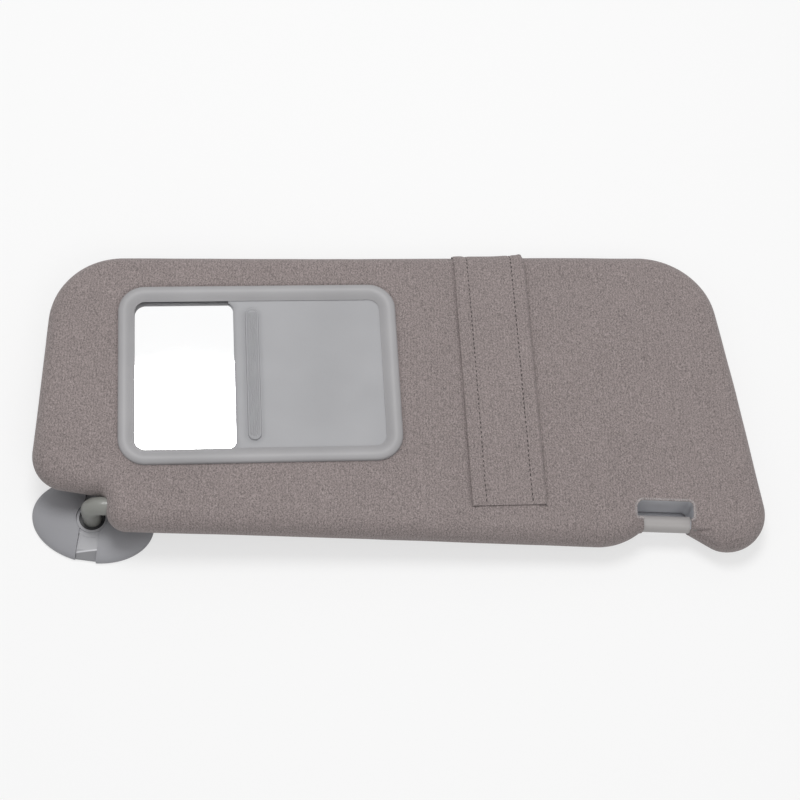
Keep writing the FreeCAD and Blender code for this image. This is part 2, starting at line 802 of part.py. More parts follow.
hub = cylinder("hub", "Sizes.hub_dia / 2", "Sizes.hub_height")
collar = cylinder("collar", "Sizes.collar_dia / 2", "Sizes.collar_height")
strip_body = new_body("strips")
strip_side = sketch_on(strip_body, "strip_side", "YZ_Plane")
STRIP_FOOT = "(Sizes.bracket_short - Sizes.strip_setback)"
closed_loop(strip_side, [
    (f"-{STRIP_FOOT}", "0"), (STRIP_FOOT, "0"), (STRIP_FOOT, "Sizes.strip_foot_height"),
    ("Sizes.strip_break", "Sizes.strip_break_height"), ("Sizes.collar_bore / 2", "Sizes.strip_top"),
    ("-Sizes.collar_bore / 2", "Sizes.strip_top"), ("-Sizes.strip_break", "Sizes.strip_break_height"),
    (f"-{STRIP_FOOT}", "Sizes.strip_foot_height"),
])
strips = pad(strip_body, strip_side, "strip_bar", "Sizes.strip_width")
strips.Midplane = True
bosses = []
for side in ("", "-"):
    bosses.append(cylinder(
        "screw_boss", "Sizes.screw_boss_dia / 2", "Sizes.screw_boss_height", f"{side}Sizes.screw_spacing / 2"
    ))
bracket_solid = fuse("bracket_solid", [plate, hub, collar, strip_body] + bosses)
holes = [
    cylinder("collar_hole", "Sizes.collar_bore / 2", "Sizes.collar_height", up="Sizes.collar_bore_floor"),
    cylinder(
        "bearing_hole", "Sizes.sleeve_dia / 2 + Sizes.running_gap", "Sizes.collar_height",
        up="Sizes.bearing_floor",
    ),
    cylinder("rod_hole", "Sizes.rod_dia / 2 + Sizes.running_gap", "Sizes.collar_height"),
    cylinder("under_recess", "Sizes.recess_dia / 2", "Sizes.recess_depth"),
]
for side in ("", "-"):
    holes.append(cylinder(
        "screw_hole", "Sizes.screw_hole_dia / 2", "2 * Sizes.screw_boss_height", f"{side}Sizes.screw_spacing / 2"
    ))
keep(cut("bracket_base", bracket_solid, fuse("bracket_holes", holes)), "bracket_base", bracket_place)


# Domed caps, one each side of the centre strips: flat panes between rings that shrink towards the top
def dome(inset):
    """Half dome on the ground plane, set in by a distance."""
    bands = int(size("dome_bands"))
    sides = int(size("dome_sides"))
    rings = []
    for band in range(bands):
        rise = math.pi / 2 * band / bands
        ring = []
        for side in range(sides):
            turn = 2 * math.pi * side / sides
            ring.append(Vector(
                (size("bracket_long") - inset) * math.cos(rise) * math.cos(turn),
                (size("bracket_short") - inset) * math.cos(rise) * math.sin(turn),
                (size("dome_height") - inset) * math.sin(rise),
            ))
        rings.append(ring)
    panes = [Part.Face(Part.makePolygon(rings[0][::-1] + rings[0][-1:]))]
    panes.append(Part.Face(Part.makePolygon(rings[-1] + rings[-1][:1])))
    for lower, upper in zip(rings, rings[1:]):
        for side in range(sides):
            after = (side + 1) % sides
            panes.append(Part.Face(Part.makePolygon(
                [lower[side], lower[after], upper[after], upper[side], lower[side]]
            )))
    return Part.makeSolid(Part.makeShell(panes))


def cap(side):
    def half(gap, foot, top):
        reach = 2 * size("bracket_long")
        start = size("strip_width") / 2 + gap
        left = start if side == "right" else -reach - start
        return Part.makeBox(reach, reach, top - foot, Vector(left, -reach / 2, foot))

    gap = size("cap_gap")
    wall = size("cap_wall")
    outer = dome(0).common(half(gap, size("cap_lift"), size("dome_height")))
    inner = dome(wall).common(half(gap + wall, 0, size("dome_height")))
    plate_room = dome(wall).common(half(-gap, 0, size("plate_thick") + gap))
    collar_room = Part.makeCylinder(size("collar_dia") / 2 + gap, size("collar_height"))
    hub_room = Part.makeCylinder(size("hub_dia") / 2 + gap, size("hub_height") + gap)
    shell = outer.cut(inner).cut(plate_room).cut(collar_room).cut(hub_room)
    return feature(f"cap_{side}", shell, bracket_place)


cap("left")
cap("right")


# Pivot arm: bent rod, moulded sleeve and the parts that hold it in the hub
def bent_path(foot, reach):
    droop = math.radians(rest_droop)
    along = Vector(math.cos(droop), 0, -math.sin(droop))
    elbow = Vector(0, 0, size("arm_height"))
    down = Vector(0, 0, -1)
    half = down.getAngle(along) / 2
    back = size("bend_radius") / math.tan(half)
    centre = elbow + (down + along).normalize() * (size("bend_radius") / math.sin(half))
    start = elbow + down * back
    finish = elbow + along * back
    middle = centre + (elbow - centre).normalize() * size("bend_radius")
    low = Vector(0, 0, foot)
    return Part.Wire([
        Part.LineSegment(low, start).toShape(),
        Part.Arc(start, middle, finish).toShape(),
        Part.LineSegment(finish, elbow + along * reach).toShape(),
    ])


def bent_bar(radius, foot, reach):
    ring = Part.Wire(Part.makeCircle(radius, Vector(0, 0, foot), Vector(0, 0, 1)))
    return bent_path(foot, reach).makePipeShell([ring], True, False)


def pivot_rod():
    radius = size("rod_dia") / 2
    rod = bent_bar(radius, size("rod_foot"), size("rod_reach"))
    flat = Part.makeBox(
        size("flat_length"), size("rod_dia") * 2, size("flat_depth") * 2,
        Vector(size("flat_start"), -size("rod_dia"), radius - size("flat_depth")),
    )
    flat.Placement = panel_place * flat.Placement
    groove_top = ring_top
    ring_groove = Part.makeCylinder(radius * 2, size("ring_thick"), Vector(0, 0, groove_top - size("ring_thick")))
    ring_groove = ring_groove.cut(
        Part.makeCylinder(radius - size("groove_depth"), groove_top * 2, Vector(0, 0, 0))
    )
    return rod.cut(flat).cut(ring_groove)


washer_top = size("recess_depth") - size("swivel_gap")
wave_top = washer_top - size("washer_thick")
ring_top = wave_top - size("wave_thick")
feature("pivot_rod", pivot_rod(), Placement())


def arm_sleeve():
    foot = size("bearing_floor") + size("swivel_gap")
    outer = bent_bar(size("sleeve_dia") / 2, foot, size("sleeve_reach"))
    inner = bent_bar(size("rod_dia") / 2 + size("moulded_gap"), size("rod_foot"), size("rod_reach"))
    return outer.cut(inner)


feature("arm_sleeve", arm_sleeve(), Placement())


def ring_body(label, outer, inner, foot, thick):
    body = new_body(label)
    sketch = sketch_on(body, label + "_outline", "XY_Plane", foot)
    circle(sketch, outer)
    circle(sketch, inner)
    pad(body, sketch, label + "_ring", thick)
    return keep(body, label)


WASHER_FOOT = "Sizes.recess_depth - Sizes.swivel_gap - Sizes.washer_thick"
WAVE_FOOT = f"{WASHER_FOOT} - Sizes.wave_thick"
ROD_HOLE = "Sizes.rod_dia / 2 + Sizes.seat_gap"
ring_body("thrust_washer", "Sizes.washer_dia / 2", ROD_HOLE, WASHER_FOOT, "Sizes.washer_thick")
ring_body("swivel_spring", "Sizes.wave_dia / 2", ROD_HOLE, WAVE_FOOT, "Sizes.wave_thick")
ring_body(
    "retaining_ring", "Sizes.ring_dia / 2", "Sizes.rod_dia / 2 - Sizes.groove_depth + Sizes.moulded_gap",
    f"{WAVE_FOOT} - Sizes.ring_thick", "Sizes.ring_thick",
)

# Rod housing with ears, clip and screws
CARRIER_END = "Sizes.rod_reach - Sizes.rod_overrun"
EAR_STARTS = (
    "Sizes.carrier_start + Sizes.ear_inset", f"{CARRIER_END} - Sizes.ear_inset - Sizes.ear_length"
)
carrier_body = new_body("rod_carrier")
carrier_plan = sketch_on(carrier_body, "carrier_plan", "XY_Plane", "-Sizes.carrier_height / 2")
rectangle(
    carrier_plan, "Sizes.carrier_start", CARRIER_END,
    "-Sizes.carrier_width / 2", "Sizes.carrier_width / 2",
)
pad(carrier_body, carrier_plan, "carrier_block", "Sizes.carrier_height")


def hinge_side_rim(edge):
    box = edge.BoundBox
    return box.XLength > size("rod_reach") / 2 and box.YMax < 0


doc.recompute()
carrier_block = carrier_body.Tip
side_rims = [f"Edge{i + 1}" for i, edge in enumerate(carrier_block.Shape.Edges) if hinge_side_rim(edge)]
bevel = carrier_body.newObject("PartDesign::Chamfer", "carrier_side_bevel")
bevel.Base = (carrier_block, side_rims)
bevel.setExpression("Size", "Sizes.carrier_bevel")
ears = sketch_on(carrier_body, "carrier_ears", "XY_Plane", "-Sizes.carrier_height / 2")
for start in EAR_STARTS:
    rectangle(
        ears, start, f"{start} + Sizes.ear_length", "Sizes.carrier_width / 2 - Sizes.carrier_wall / 2",
        "Sizes.carrier_width / 2 + Sizes.ear_depth",
    )
pad(carrier_body, ears, "carrier_ear_pads", "Sizes.ear_thick")
chamber = sketch_on(carrier_body, "clip_chamber", "XY_Plane", "Sizes.carrier_height / 2")
rectangle(
    chamber, "Sizes.flat_start", "Sizes.flat_start + Sizes.flat_length",
    "-(Sizes.carrier_width / 2 - Sizes.carrier_wall)", "Sizes.carrier_width / 2 - Sizes.carrier_wall",
)
pocket(carrier_body, chamber, "clip_chamber_pocket", "Sizes.carrier_height - Sizes.carrier_wall / 2")
bore = sketch_on(carrier_body, "rod_bore", "YZ_Plane", "Sizes.carrier_start")
circle(bore, "Sizes.rod_dia / 2 + Sizes.running_gap")
pocket(carrier_body, bore, "rod_bore_pocket", "Sizes.rod_reach - Sizes.carrier_start", upward=True)
mouth = sketch_on(carrier_body, "sleeve_bore", "YZ_Plane", "Sizes.carrier_start")
circle(mouth, "Sizes.sleeve_dia / 2 + Sizes.running_gap")
pocket(
    carrier_body, mouth, "sleeve_bore_pocket",
    "Sizes.sleeve_reach - Sizes.carrier_start + Sizes.swivel_gap", upward=True,
)
ear_holes = sketch_on(carrier_body, "ear_holes", "XY_Plane", "-Sizes.carrier_height / 2 + Sizes.ear_thick")
EAR_Y = "Sizes.carrier_width / 2 + Sizes.ear_depth / 2"
for start in EAR_STARTS:
    circle(ear_holes, "Sizes.carrier_screw_dia / 2 + Sizes.seat_gap", f"{start} + Sizes.ear_length / 2", EAR_Y)
pocket(carrier_body, ear_holes, "ear_hole_pocket", "Sizes.ear_thick")
keep(carrier_body, "rod_carrier", panel_place)


def detent_spring():
    """Spring clip: an open channel whose upper leaf lies along the rod's flat."""
    thick = size("clip_thick")
    gap = size("running_gap")
    under = size("rod_dia") / 2 + gap
    leaf = size("rod_dia") / 2 - size("flat_depth") + gap
    side = size("carrier_width") / 2 - size("carrier_wall") - size("seat_gap")
    length = size("flat_length") - 2 * size("clip_margin")
    start = size("flat_start") + size("clip_margin")
    outer = Part.makeBox(length, 2 * side, leaf + under + 2 * thick, Vector(start, -side, -under - thick))
    inner = Part.makeBox(
        length, 2 * side, leaf + under, Vector(start, -side + thick, -under)
    )
    return outer.cut(inner)


feature("detent_spring", detent_spring(), panel_place)

bush = new_body("rod_bush")
bush_side = sketch_on(bush, "bush_side", "XZ_Plane")
BUSH_START = "(Sizes.entry_x + Sizes.bush_inset)"
BUSH_END = "Sizes.carrier_start - Sizes.seat_gap"
BUSH_BORE = "Sizes.sleeve_dia / 2 + Sizes.running_gap"
closed_loop(bush_side, [
    (BUSH_START, BUSH_BORE), (BUSH_END, BUSH_BORE), (BUSH_END, "Sizes.bush_dia / 2"),
    (f"{BUSH_START} + Sizes.bush_flange", "Sizes.bush_dia / 2"),
    (f"{BUSH_START} + Sizes.bush_flange", "Sizes.bush_flange_dia / 2"),
    (BUSH_START, "Sizes.bush_flange_dia / 2"),
])
bush_turn = bush.newObject("PartDesign::Revolution", "bush_turn")
bush_turn.Profile = bush_side
bush_turn.ReferenceAxis = (bush_side, ["H_Axis"])
bush_turn.Angle = 360
keep(bush, "rod_bush", panel_place)


def carrier_screws():
    screws = []
    ear_top = carrier_low + size("ear_thick")
    for x, y in screw_spots():
        shank = Part.makeCylinder(
            size("carrier_screw_dia") / 2, size("ear_thick") + size("screw_bite"),
            Vector(x, y, carrier_low - size("screw_bite")),
        )
        head = Part.makeCylinder(size("carrier_head_dia") / 2, size("carrier_head_height"), Vector(x, y, ear_top))
        screws.append(shank.fuse(head))
    return Part.makeCompound(screws)


feature("carrier_screws", carrier_screws(), panel_place)

doc.recompute()

# Every object must have built, and every piece must be a sound solid, before anything is written
for item in doc.Objects:
    if "Invalid" in item.State or "Error" in item.State:
        raise RuntimeError(f"{item.Name} did not build: {item.State}")
for item in nodes:
    if item.Shape.isNull() or not item.Shape.isValid() or not item.Shape.Solids:
        raise RuntimeError(f"{item.Label} is not a sound solid")

os.makedirs("parts", exist_ok=True)
for item in nodes:
    item.Shape.exportStep(f"parts/{item.Label}.step")
    box = item.Shape.BoundBox
    print(f"{item.Label}: {len(item.Shape.Solids)} solid(s), {item.Shape.Volume / 1000:.2f} cm3, "
          f"z {box.ZMin:.2f} to {box.ZMax:.2f}")
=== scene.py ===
import math

import bmesh
import bpy
from mathutils import Matrix, Vector, noise
from mathutils.geometry import delaunay_2d_cdt


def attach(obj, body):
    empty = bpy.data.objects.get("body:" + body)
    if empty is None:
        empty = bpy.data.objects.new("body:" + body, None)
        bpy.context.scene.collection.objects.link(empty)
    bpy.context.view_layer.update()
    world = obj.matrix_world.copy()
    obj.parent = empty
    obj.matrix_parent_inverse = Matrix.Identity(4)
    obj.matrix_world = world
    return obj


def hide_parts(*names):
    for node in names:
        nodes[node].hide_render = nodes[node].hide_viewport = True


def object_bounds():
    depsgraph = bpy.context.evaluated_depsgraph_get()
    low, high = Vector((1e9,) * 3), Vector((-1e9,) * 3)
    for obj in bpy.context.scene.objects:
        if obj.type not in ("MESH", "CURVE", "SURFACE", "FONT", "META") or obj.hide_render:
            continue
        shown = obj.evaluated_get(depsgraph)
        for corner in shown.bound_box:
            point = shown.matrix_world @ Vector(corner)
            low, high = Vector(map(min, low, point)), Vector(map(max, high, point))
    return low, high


# Car sun visor, mirror side up. Lengths are in millimetres until a mesh is made.
# Panel frame: x along the pivot axis, y from the hinge edge to the far edge, z out of the mirror side.

MM = 0.001
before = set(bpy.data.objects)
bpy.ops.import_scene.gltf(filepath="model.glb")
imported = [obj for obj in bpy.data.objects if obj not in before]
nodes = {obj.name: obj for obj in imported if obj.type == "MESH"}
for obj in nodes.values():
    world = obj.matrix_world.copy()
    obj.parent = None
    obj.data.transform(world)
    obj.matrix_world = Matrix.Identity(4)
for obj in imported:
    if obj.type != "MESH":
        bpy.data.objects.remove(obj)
cad_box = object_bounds()

ARM_HEIGHT = 27.0
REST_DROOP = 2.1382
REST_LEAN = 1.1
PANEL = (
    Matrix.Translation((0, 0, ARM_HEIGHT))
    @ Matrix.Rotation(math.radians(REST_DROOP), 4, "Y")
    @ Matrix.Rotation(math.radians(-REST_LEAN), 4, "X")
)
BEZEL_IN_PANEL = Matrix.Translation((93.2, 81.9, 0)) @ Matrix.Rotation(math.radians(3.38), 4, "Z")
PANEL_IN_BEZEL = BEZEL_IN_PANEL.inverted()
BEZEL = PANEL @ BEZEL_IN_PANEL
BRACKET_TURN = -6.5
BRACKET = Matrix.Rotation(math.radians(BRACKET_TURN), 4, "Z")

# Panel
CORNERS = [
    (9.0, -14.5, 13.0), (302.6, -14.5, 40.0), (315.2, -5.0, 2.0), (343.4, -5.0, 2.0),
    (360.4, -15.1, 17.0), (392.8, -15.1, 23.0), (361.6, 174.8, 45.0), (-29.8, 154.9, 43.0),
    (-34.2, 12.0, 20.0), (9.0, 6.0, 5.0),
]
FACE = 11.0
RIM = 10.0
CLOTH = 1.2
PANEL_LOW, PANEL_HIGH = (-30, -12), (392, 174)
PIN_LEFT, PIN_RIGHT, PIN_RADIUS, PIN_SEAT = 315.2, 343.4, 4.8, 0.8
NOTCH_LEFT, NOTCH_RIGHT, NOTCH_DEPTH, NOTCH_STEP, MOUTH = 311.0, 345.0, 11.0, 0.2, -5.0
ARM_BORE = 5.55
# Mirror unit, bezel frame
BEZEL_HALF_X, BEZEL_HALF_Y, BEZEL_ROUND, BAND = 81.5, 56.5, 16.0, 9.5
OPEN_Y = BEZEL_HALF_Y - BAND
WINDOW_X, WINDOW_Y, WINDOW_ROUND = 77.3, 52.3, 6.5
COVER_TOP, COVER_THICK = 9.5, 1.8
COVER_LEAD, COVER_TAIL, COVER_Y = -14.4, 74.6, 50.0
GRIP_X, GRIP_HALF, GRIP_RADIUS, MOAT = -3.6, 42.0, 3.8, 4.4
# Strap, bezel frame directions
STRAP_LEFT, STRAP_WIDTH, STRAP_START, STRAP_THICK, STRAP_GAP = 118.6, 42.7, -86.0, 1.4, 0.1
STRAP_RIGHT = STRAP_LEFT + STRAP_WIDTH
# Roof bracket
DOME_HEIGHT, DOME_LONG, DOME_SHORT, CAP_WALL = 8.0, 35.5, 25.0, 1.6
COLLAR_RADIUS, HUB_RADIUS, HUB_HEIGHT, BORE_RADIUS = 9.0, 11.5, 5.8, 7.5
STRIP_HALF, STRIP_END, CAP_GAP = 5.95, 25.0, 0.15
LOBE_TURN = math.radians(-4.5)


# Mesh helpers
def mesh_piece(name, points, faces, place, sharp=None):
    mesh = bpy.data.meshes.new(name)
    mesh.from_pydata([(place @ Vector(point)) * MM for point in points], [], faces)
    mesh.validate()
    piece = bpy.data.objects.new(name, mesh)
    bpy.context.scene.collection.objects.link(piece)
    tidy_normals(piece, sharp)
    return piece


def tidy_normals(piece, sharp=None):
    mesh = piece.data
    shape = bmesh.new()
    shape.from_mesh(mesh)
    bmesh.ops.recalc_face_normals(shape, faces=shape.faces)
    shape.to_mesh(mesh)
    shape.free()
    mesh.shade_smooth()
    if sharp is not None:
        mesh.set_sharp_from_angle(angle=math.radians(sharp))
    mesh.update()


def merge_doubles(piece, distance):
    shape = bmesh.new()
    shape.from_mesh(piece.data)
    bmesh.ops.remove_doubles(shape, verts=shape.verts, dist=distance)
    shape.to_mesh(piece.data)
    shape.free()


def circle(radius, sides):
    """Points round a circle."""
    turns = [2 * math.pi * k / sides for k in range(sides)]
    return [(radius * math.cos(turn), radius * math.sin(turn)) for turn in turns]


def loft(rings, first_cap=False, last_cap=False, base=0):
    """Quads between rings of the same number of points."""
    count = len(rings[0])
    points = [point for ring in rings for point in ring]
    faces = []
    for level in range(len(rings) - 1):
        low = base + level * count
        high = low + count
        for i in range(count):
            j = (i + 1) % count
            faces.append((low + i, low + j, high + j, high + i))
    if first_cap:
        faces.append(tuple(range(base + count - 1, base - 1, -1)))
    if last_cap:
        top = base + (len(rings) - 1) * count
        faces.append(tuple(range(top, top + count)))
    return points, faces


def rounded_loop(corners, step):
    """Points and inward normals round an outline, counter-clockwise."""
    count = len(corners)
    arcs = []
    for i in range(count):
        point = Vector(corners[i][:2])
        radius = corners[i][2]
        back = (Vector(corners[i - 1][:2]) - point).normalized()
        ahead = (Vector(corners[(i + 1) % count][:2]) - point).normalized()
        half = back.angle(ahead) / 2
        centre = point + (back + ahead).normalized() * (radius / math.sin(half))
        reach = radius / math.tan(half)
        start = point + back * reach
        convex = (-back).cross(ahead) > 0
        bend = math.pi - 2 * half
        steps = max(3, math.ceil(radius * bend / step), math.ceil(bend / 0.16))
        first = math.atan2(start.y - centre.y, start.x - centre.x)
        sweep = bend * (1 if convex else -1)
        arc = []
        for k in range(steps + 1):
            turn = first + sweep * k / steps
            out = Vector((math.cos(turn), math.sin(turn)))
            arc.append((centre + out * radius, -out if convex else out))
        arcs.append(arc)
    loop = []
    for i in range(count):
        before = arcs[i - 1][-1][0]
        here = arcs[i][0][0]
        gap = (here - before).length
        pieces = max(1, math.ceil(gap / step))
        along = (here - before).normalized() if gap > 1e-6 else Vector((1, 0))
        inward = Vector((-along.y, along.x))
        for k in range(1, pieces):
            loop.append((before + (here - before) * (k / pieces), inward))
        loop.extend(arcs[i])
    return loop


def rounded_rectangle(half_x, half_y, radius, step):
    signs = [(-1, -1), (1, -1), (1, 1), (-1, 1)]
    return rounded_loop([(sx * half_x, sy * half_y, radius) for sx, sy in signs], step)


def rectangle_distance(x, y, half_x, half_y, radius):
    """Distance outside a rounded rectangle, negative inside it."""
    dx, dy = abs(x) - half_x + radius, abs(y) - half_y + radius
    return math.hypot(max(dx, 0), max(dy, 0)) + min(max(dx, dy), 0) - radius


def inside(point, loop):
    hit = False
    x, y = point
    for i in range(len(loop)):
        ax, ay = loop[i - 1]
        bx, by = loop[i]
        if (ay > y) != (by > y) and x < (bx - ax) * (y - ay) / (by - ay) + ax:
            hit = not hit
    return hit


def fill(outer, holes, scatter):
    """Triangles over an outline with holes. The outline's points come first, in order."""
    points = [Vector(point) for point in outer]
    edges = [(i, (i + 1) % len(outer)) for i in range(len(outer))]
    for hole in holes:
        first = len(points)
        points.extend(Vector(point) for point in hole)
        edges.extend((first + i, first + (i + 1) % len(hole)) for i in range(len(hole)))
    points.extend(Vector(point) for point in scatter)
    found, _, faces, source, _, _ = delaunay_2d_cdt(points, edges, [], 1, 1e-4)
    if len(found) != len(points):
        raise RuntimeError("the fill merged or added points")
    back = [origin[0] for origin in source]
    kept = []
    for face in faces:
        middle = sum((found[i] for i in face), Vector((0, 0))) / len(face)
        if not any(inside(middle, hole) for hole in holes):
            kept.append(tuple(back[i] for i in face))
    return points, kept


def smooth_step(value, low, high):
    share = min(max((value - low) / (high - low), 0.0), 1.0)
    return share * share * (3 - 2 * share)


def ripple(x, y, z, scale, seed=0.0):
    return noise.noise(Vector((x / scale + seed, y / scale - seed, z / scale)))


# Materials
def new_material(name, colour, roughness, **sockets):
    material = bpy.data.materials.new(name)
    material.use_nodes = True
    tree = material.node_tree
    shader = tree.nodes["Principled BSDF"]
    shader.inputs["Roughness"].default_value = roughness
    shader.inputs["Base Color"].default_value = (*colour, 1)
    for key, value in sockets.items():
        shader.inputs[key.replace("_", " ")].default_value = value
    return material, tree, shader


def add_node(tree, kind, **values):
    node = tree.nodes.new(kind)
    for key, value in values.items():
        if key in node.inputs:
            node.inputs[key].default_value = value
        else:
            setattr(node, key, value)
    return node


def object_coordinates(tree, scale=(1, 1, 1), turn=(0, 0, 0)):
    source = add_node(tree, "ShaderNodeTexCoord")
    mapping = add_node(tree, "ShaderNodeMapping")
    mapping.inputs["Scale"].default_value = scale
    mapping.inputs["Rotation"].default_value = turn
    tree.links.new(source.outputs["Object"], mapping.inputs["Vector"])
    return mapping.outputs["Vector"]


def blend_colours(tree, shader, factor, dark, light, low=0.0, high=1.0):
    ramp = add_node(tree, "ShaderNodeValToRGB")
    ramp.color_ramp.elements[0].position = low
    ramp.color_ramp.elements[1].position = high
    ramp.color_ramp.elements[0].color = (*dark, 1)
    ramp.color_ramp.elements[1].color = (*light, 1)
    tree.links.new(factor, ramp.inputs["Fac"])
    tree.links.new(ramp.outputs["Color"], shader.inputs["Base Color"])


def add_bump(tree, shader, height, strength, distance):
    bump = add_node(tree, "ShaderNodeBump", Strength=strength, Distance=distance)
    tree.links.new(height, bump.inputs["Height"])
    tree.links.new(bump.outputs["Normal"], shader.inputs["Normal"])


def grained_plastic(name, colour, roughness, grain=900.0, strength=0.25, spread=0.06):
    """Moulded plastic with a fine spark grain."""
    material, tree, shader = new_material(name, colour, roughness)
    where = object_coordinates(tree)
    fine = add_node(tree, "ShaderNodeTexNoise", Scale=grain, Detail=2.0)
    broad = add_node(tree, "ShaderNodeTexNoise", Scale=22.0, Detail=2.0)
    for node in (fine, broad):
        tree.links.new(where, node.inputs["Vector"])
    dark = tuple(value * (1 - spread) for value in colour)
    light = tuple(value * (1 + spread) for value in colour)
    blend_colours(tree, shader, broad.outputs["Fac"], dark, light, 0.3, 0.7)
    add_bump(tree, shader, fine.outputs["Fac"], strength, 0.0002)
    return material


def weigh(tree, first, second, share):
    """Blend of two values."""
    mix = add_node(tree, "ShaderNodeMix", data_type="FLOAT")
    mix.inputs["Factor"].default_value = share
    tree.links.new(first, mix.inputs["A"])
    tree.links.new(second, mix.inputs["B"])
    return mix.outputs["Result"]


def knitted_cloth(name, colour, turn):
    """Fine warp knit: dense grain with short slanting flecks in faint wales along y."""
    material, tree, shader = new_material(name, colour, 0.95, Sheen_Weight=0.12, Sheen_Roughness=0.5)
    where = object_coordinates(tree, turn=turn)
    slant = object_coordinates(tree, scale=(1.0, 0.62, 1.0), turn=(0, 0, turn[2] + 0.3))
    wales = add_node(tree, "ShaderNodeTexWave", Scale=180.0, Distortion=7.0, Detail=3.0)
    wales.inputs["Detail Scale"].default_value = 3.0
    flecks = add_node(tree, "ShaderNodeTexNoise", Scale=1350.0, Detail=2.0)
    grain = add_node(tree, "ShaderNodeTexNoise", Scale=1600.0, Detail=1.0)
    patches = add_node(tree, "ShaderNodeTexNoise", Scale=26.0, Detail=3.0)
    tree.links.new(slant, flecks.inputs["Vector"])
    for node in (wales, grain, patches):
        tree.links.new(where, node.inputs["Vector"])
    stitches = weigh(tree, flecks.outputs["Fac"], grain.outputs["Fac"], 0.5)
    weave = weigh(tree, stitches, wales.outputs["Fac"], 0.06)
    tone = weigh(tree, weave, patches.outputs["Fac"], 0.05)
    dark = tuple(value * 0.50 for value in colour)
    light = tuple(min(value * 1.48, 1) for value in colour)
    blend_colours(tree, shader, tone, dark, light, 0.34, 0.68)
    add_bump(tree, shader, weave, 0.7, 0.0007)
    return material


def bracket_plate_plastic():
    """Bracket plastic: smooth inner stretch of the strip, a painted highlight line at its break, painted
    shade in the bore.
    """
    material, tree, shader = new_material("bracket_plate", (0.3, 0.3, 0.318), 0.45)
    where = object_coordinates(tree, turn=(0, 0, math.radians(BRACKET_TURN)))
    parts = add_node(tree, "ShaderNodeSeparateXYZ")
    tree.links.new(where, parts.inputs["Vector"])
    along = add_node(tree, "ShaderNodeMath", operation="ABSOLUTE")
    tree.links.new(parts.outputs["Y"], along.inputs[0])
    length = add_node(tree, "ShaderNodeMath", operation="MULTIPLY")
    length.inputs[1].default_value = 1 / (STRIP_END * MM)
    tree.links.new(along.outputs["Value"], length.inputs[0])
    stretch = add_node(tree, "ShaderNodeValToRGB")
    ramp = stretch.color_ramp
    ramp.elements[0].position, ramp.elements[0].color = 0.0, (0.36, 0.36, 0.38, 1)
    ramp.elements[1].position, ramp.elements[1].color = 1.0, (0.25, 0.25, 0.265, 1)
    # Colour is lighter along the inner stretch and darker beyond the break, with a narrow painted
    # highlight line across the strip at the break
    for place, value in ((0.735, 0.40), (0.75, 0.66), (0.765, 0.66), (0.78, 0.25)):
        ramp.elements.new(place).color = (value, value, value * 1.04, 1)
    tree.links.new(length.outputs["Value"], stretch.inputs["Fac"])
    flat = add_node(tree, "ShaderNodeVectorMath", operation="MULTIPLY")
    flat.inputs[1].default_value = (1, 1, 0)
    tree.links.new(where, flat.inputs[0])
    away = add_node(tree, "ShaderNodeVectorMath", operation="LENGTH")
    tree.links.new(flat.outputs["Vector"], away.inputs[0])
    # Painted shade: inside the bore radius the plate's colour is near black
    bore_shade_mask = add_node(tree, "ShaderNodeMath", operation="LESS_THAN")
    bore_shade_mask.inputs[1].default_value = BORE_RADIUS * MM
    tree.links.new(away.outputs["Value"], bore_shade_mask.inputs[0])
    # The colour sockets of this node are inputs 6 and 7 and output 2
    mix = add_node(tree, "ShaderNodeMix", data_type="RGBA")
    tree.links.new(bore_shade_mask.outputs["Value"], mix.inputs["Factor"])
    tree.links.new(stretch.outputs["Color"], mix.inputs[6])
    mix.inputs[7].default_value = (0.02, 0.02, 0.022, 1)
    tree.links.new(mix.outputs[2], shader.inputs["Base Color"])
    gloss = add_node(tree, "ShaderNodeMapRange")
    for socket, value in (("From Min", 0.74), ("From Max", 0.78), ("To Min", 0.42), ("To Max", 0.6)):
        gloss.inputs[socket].default_value = value
    tree.links.new(length.outputs["Value"], gloss.inputs["Value"])
    tree.links.new(gloss.outputs["Result"], shader.inputs["Roughness"])
    return material


CLOTH_COLOUR = (0.270, 0.229, 0.223)
cloth_knit = knitted_cloth("cloth_knit", CLOTH_COLOUR, (0, 0, 0))
strap_knit = knitted_cloth("strap_knit", CLOTH_COLOUR, (0, 0, -0.06))
bezel_grey = grained_plastic("bezel_grey", (0.350, 0.344, 0.352), 0.48)
cover_grey = grained_plastic("cover_grey", (0.356, 0.356, 0.369), 0.55, grain=700.0, strength=0.35)
bracket_grey = grained_plastic("bracket_grey", (0.300, 0.300, 0.318), 0.52, grain=1100.0)
strip_grey = bracket_plate_plastic()
sleeve_grey = grained_plastic("sleeve_grey", (0.238, 0.240, 0.222), 0.32, grain=500.0, strength=0.05)
liner_grey = grained_plastic("liner_grey", (0.56, 0.565, 0.60), 0.36, strength=0.1)
pin_grey = grained_plastic("pin_grey", (0.400, 0.382, 0.376), 0.36, strength=0.08)
inner_grey = grained_plastic("inner_grey", (0.20, 0.20, 0.205), 0.6)
core_grey = grained_plastic("core_grey", (0.26, 0.25, 0.24), 0.7)
hem_knit = knitted_cloth("hem_knit", (0.35, 0.315, 0.31), (0, 0, 0))
thread_grey = grained_plastic("thread_grey", (0.055, 0.047, 0.046), 0.9, grain=1500.0)
tape_white = grained_plastic("tape_white", (0.62, 0.62, 0.60), 0.9)

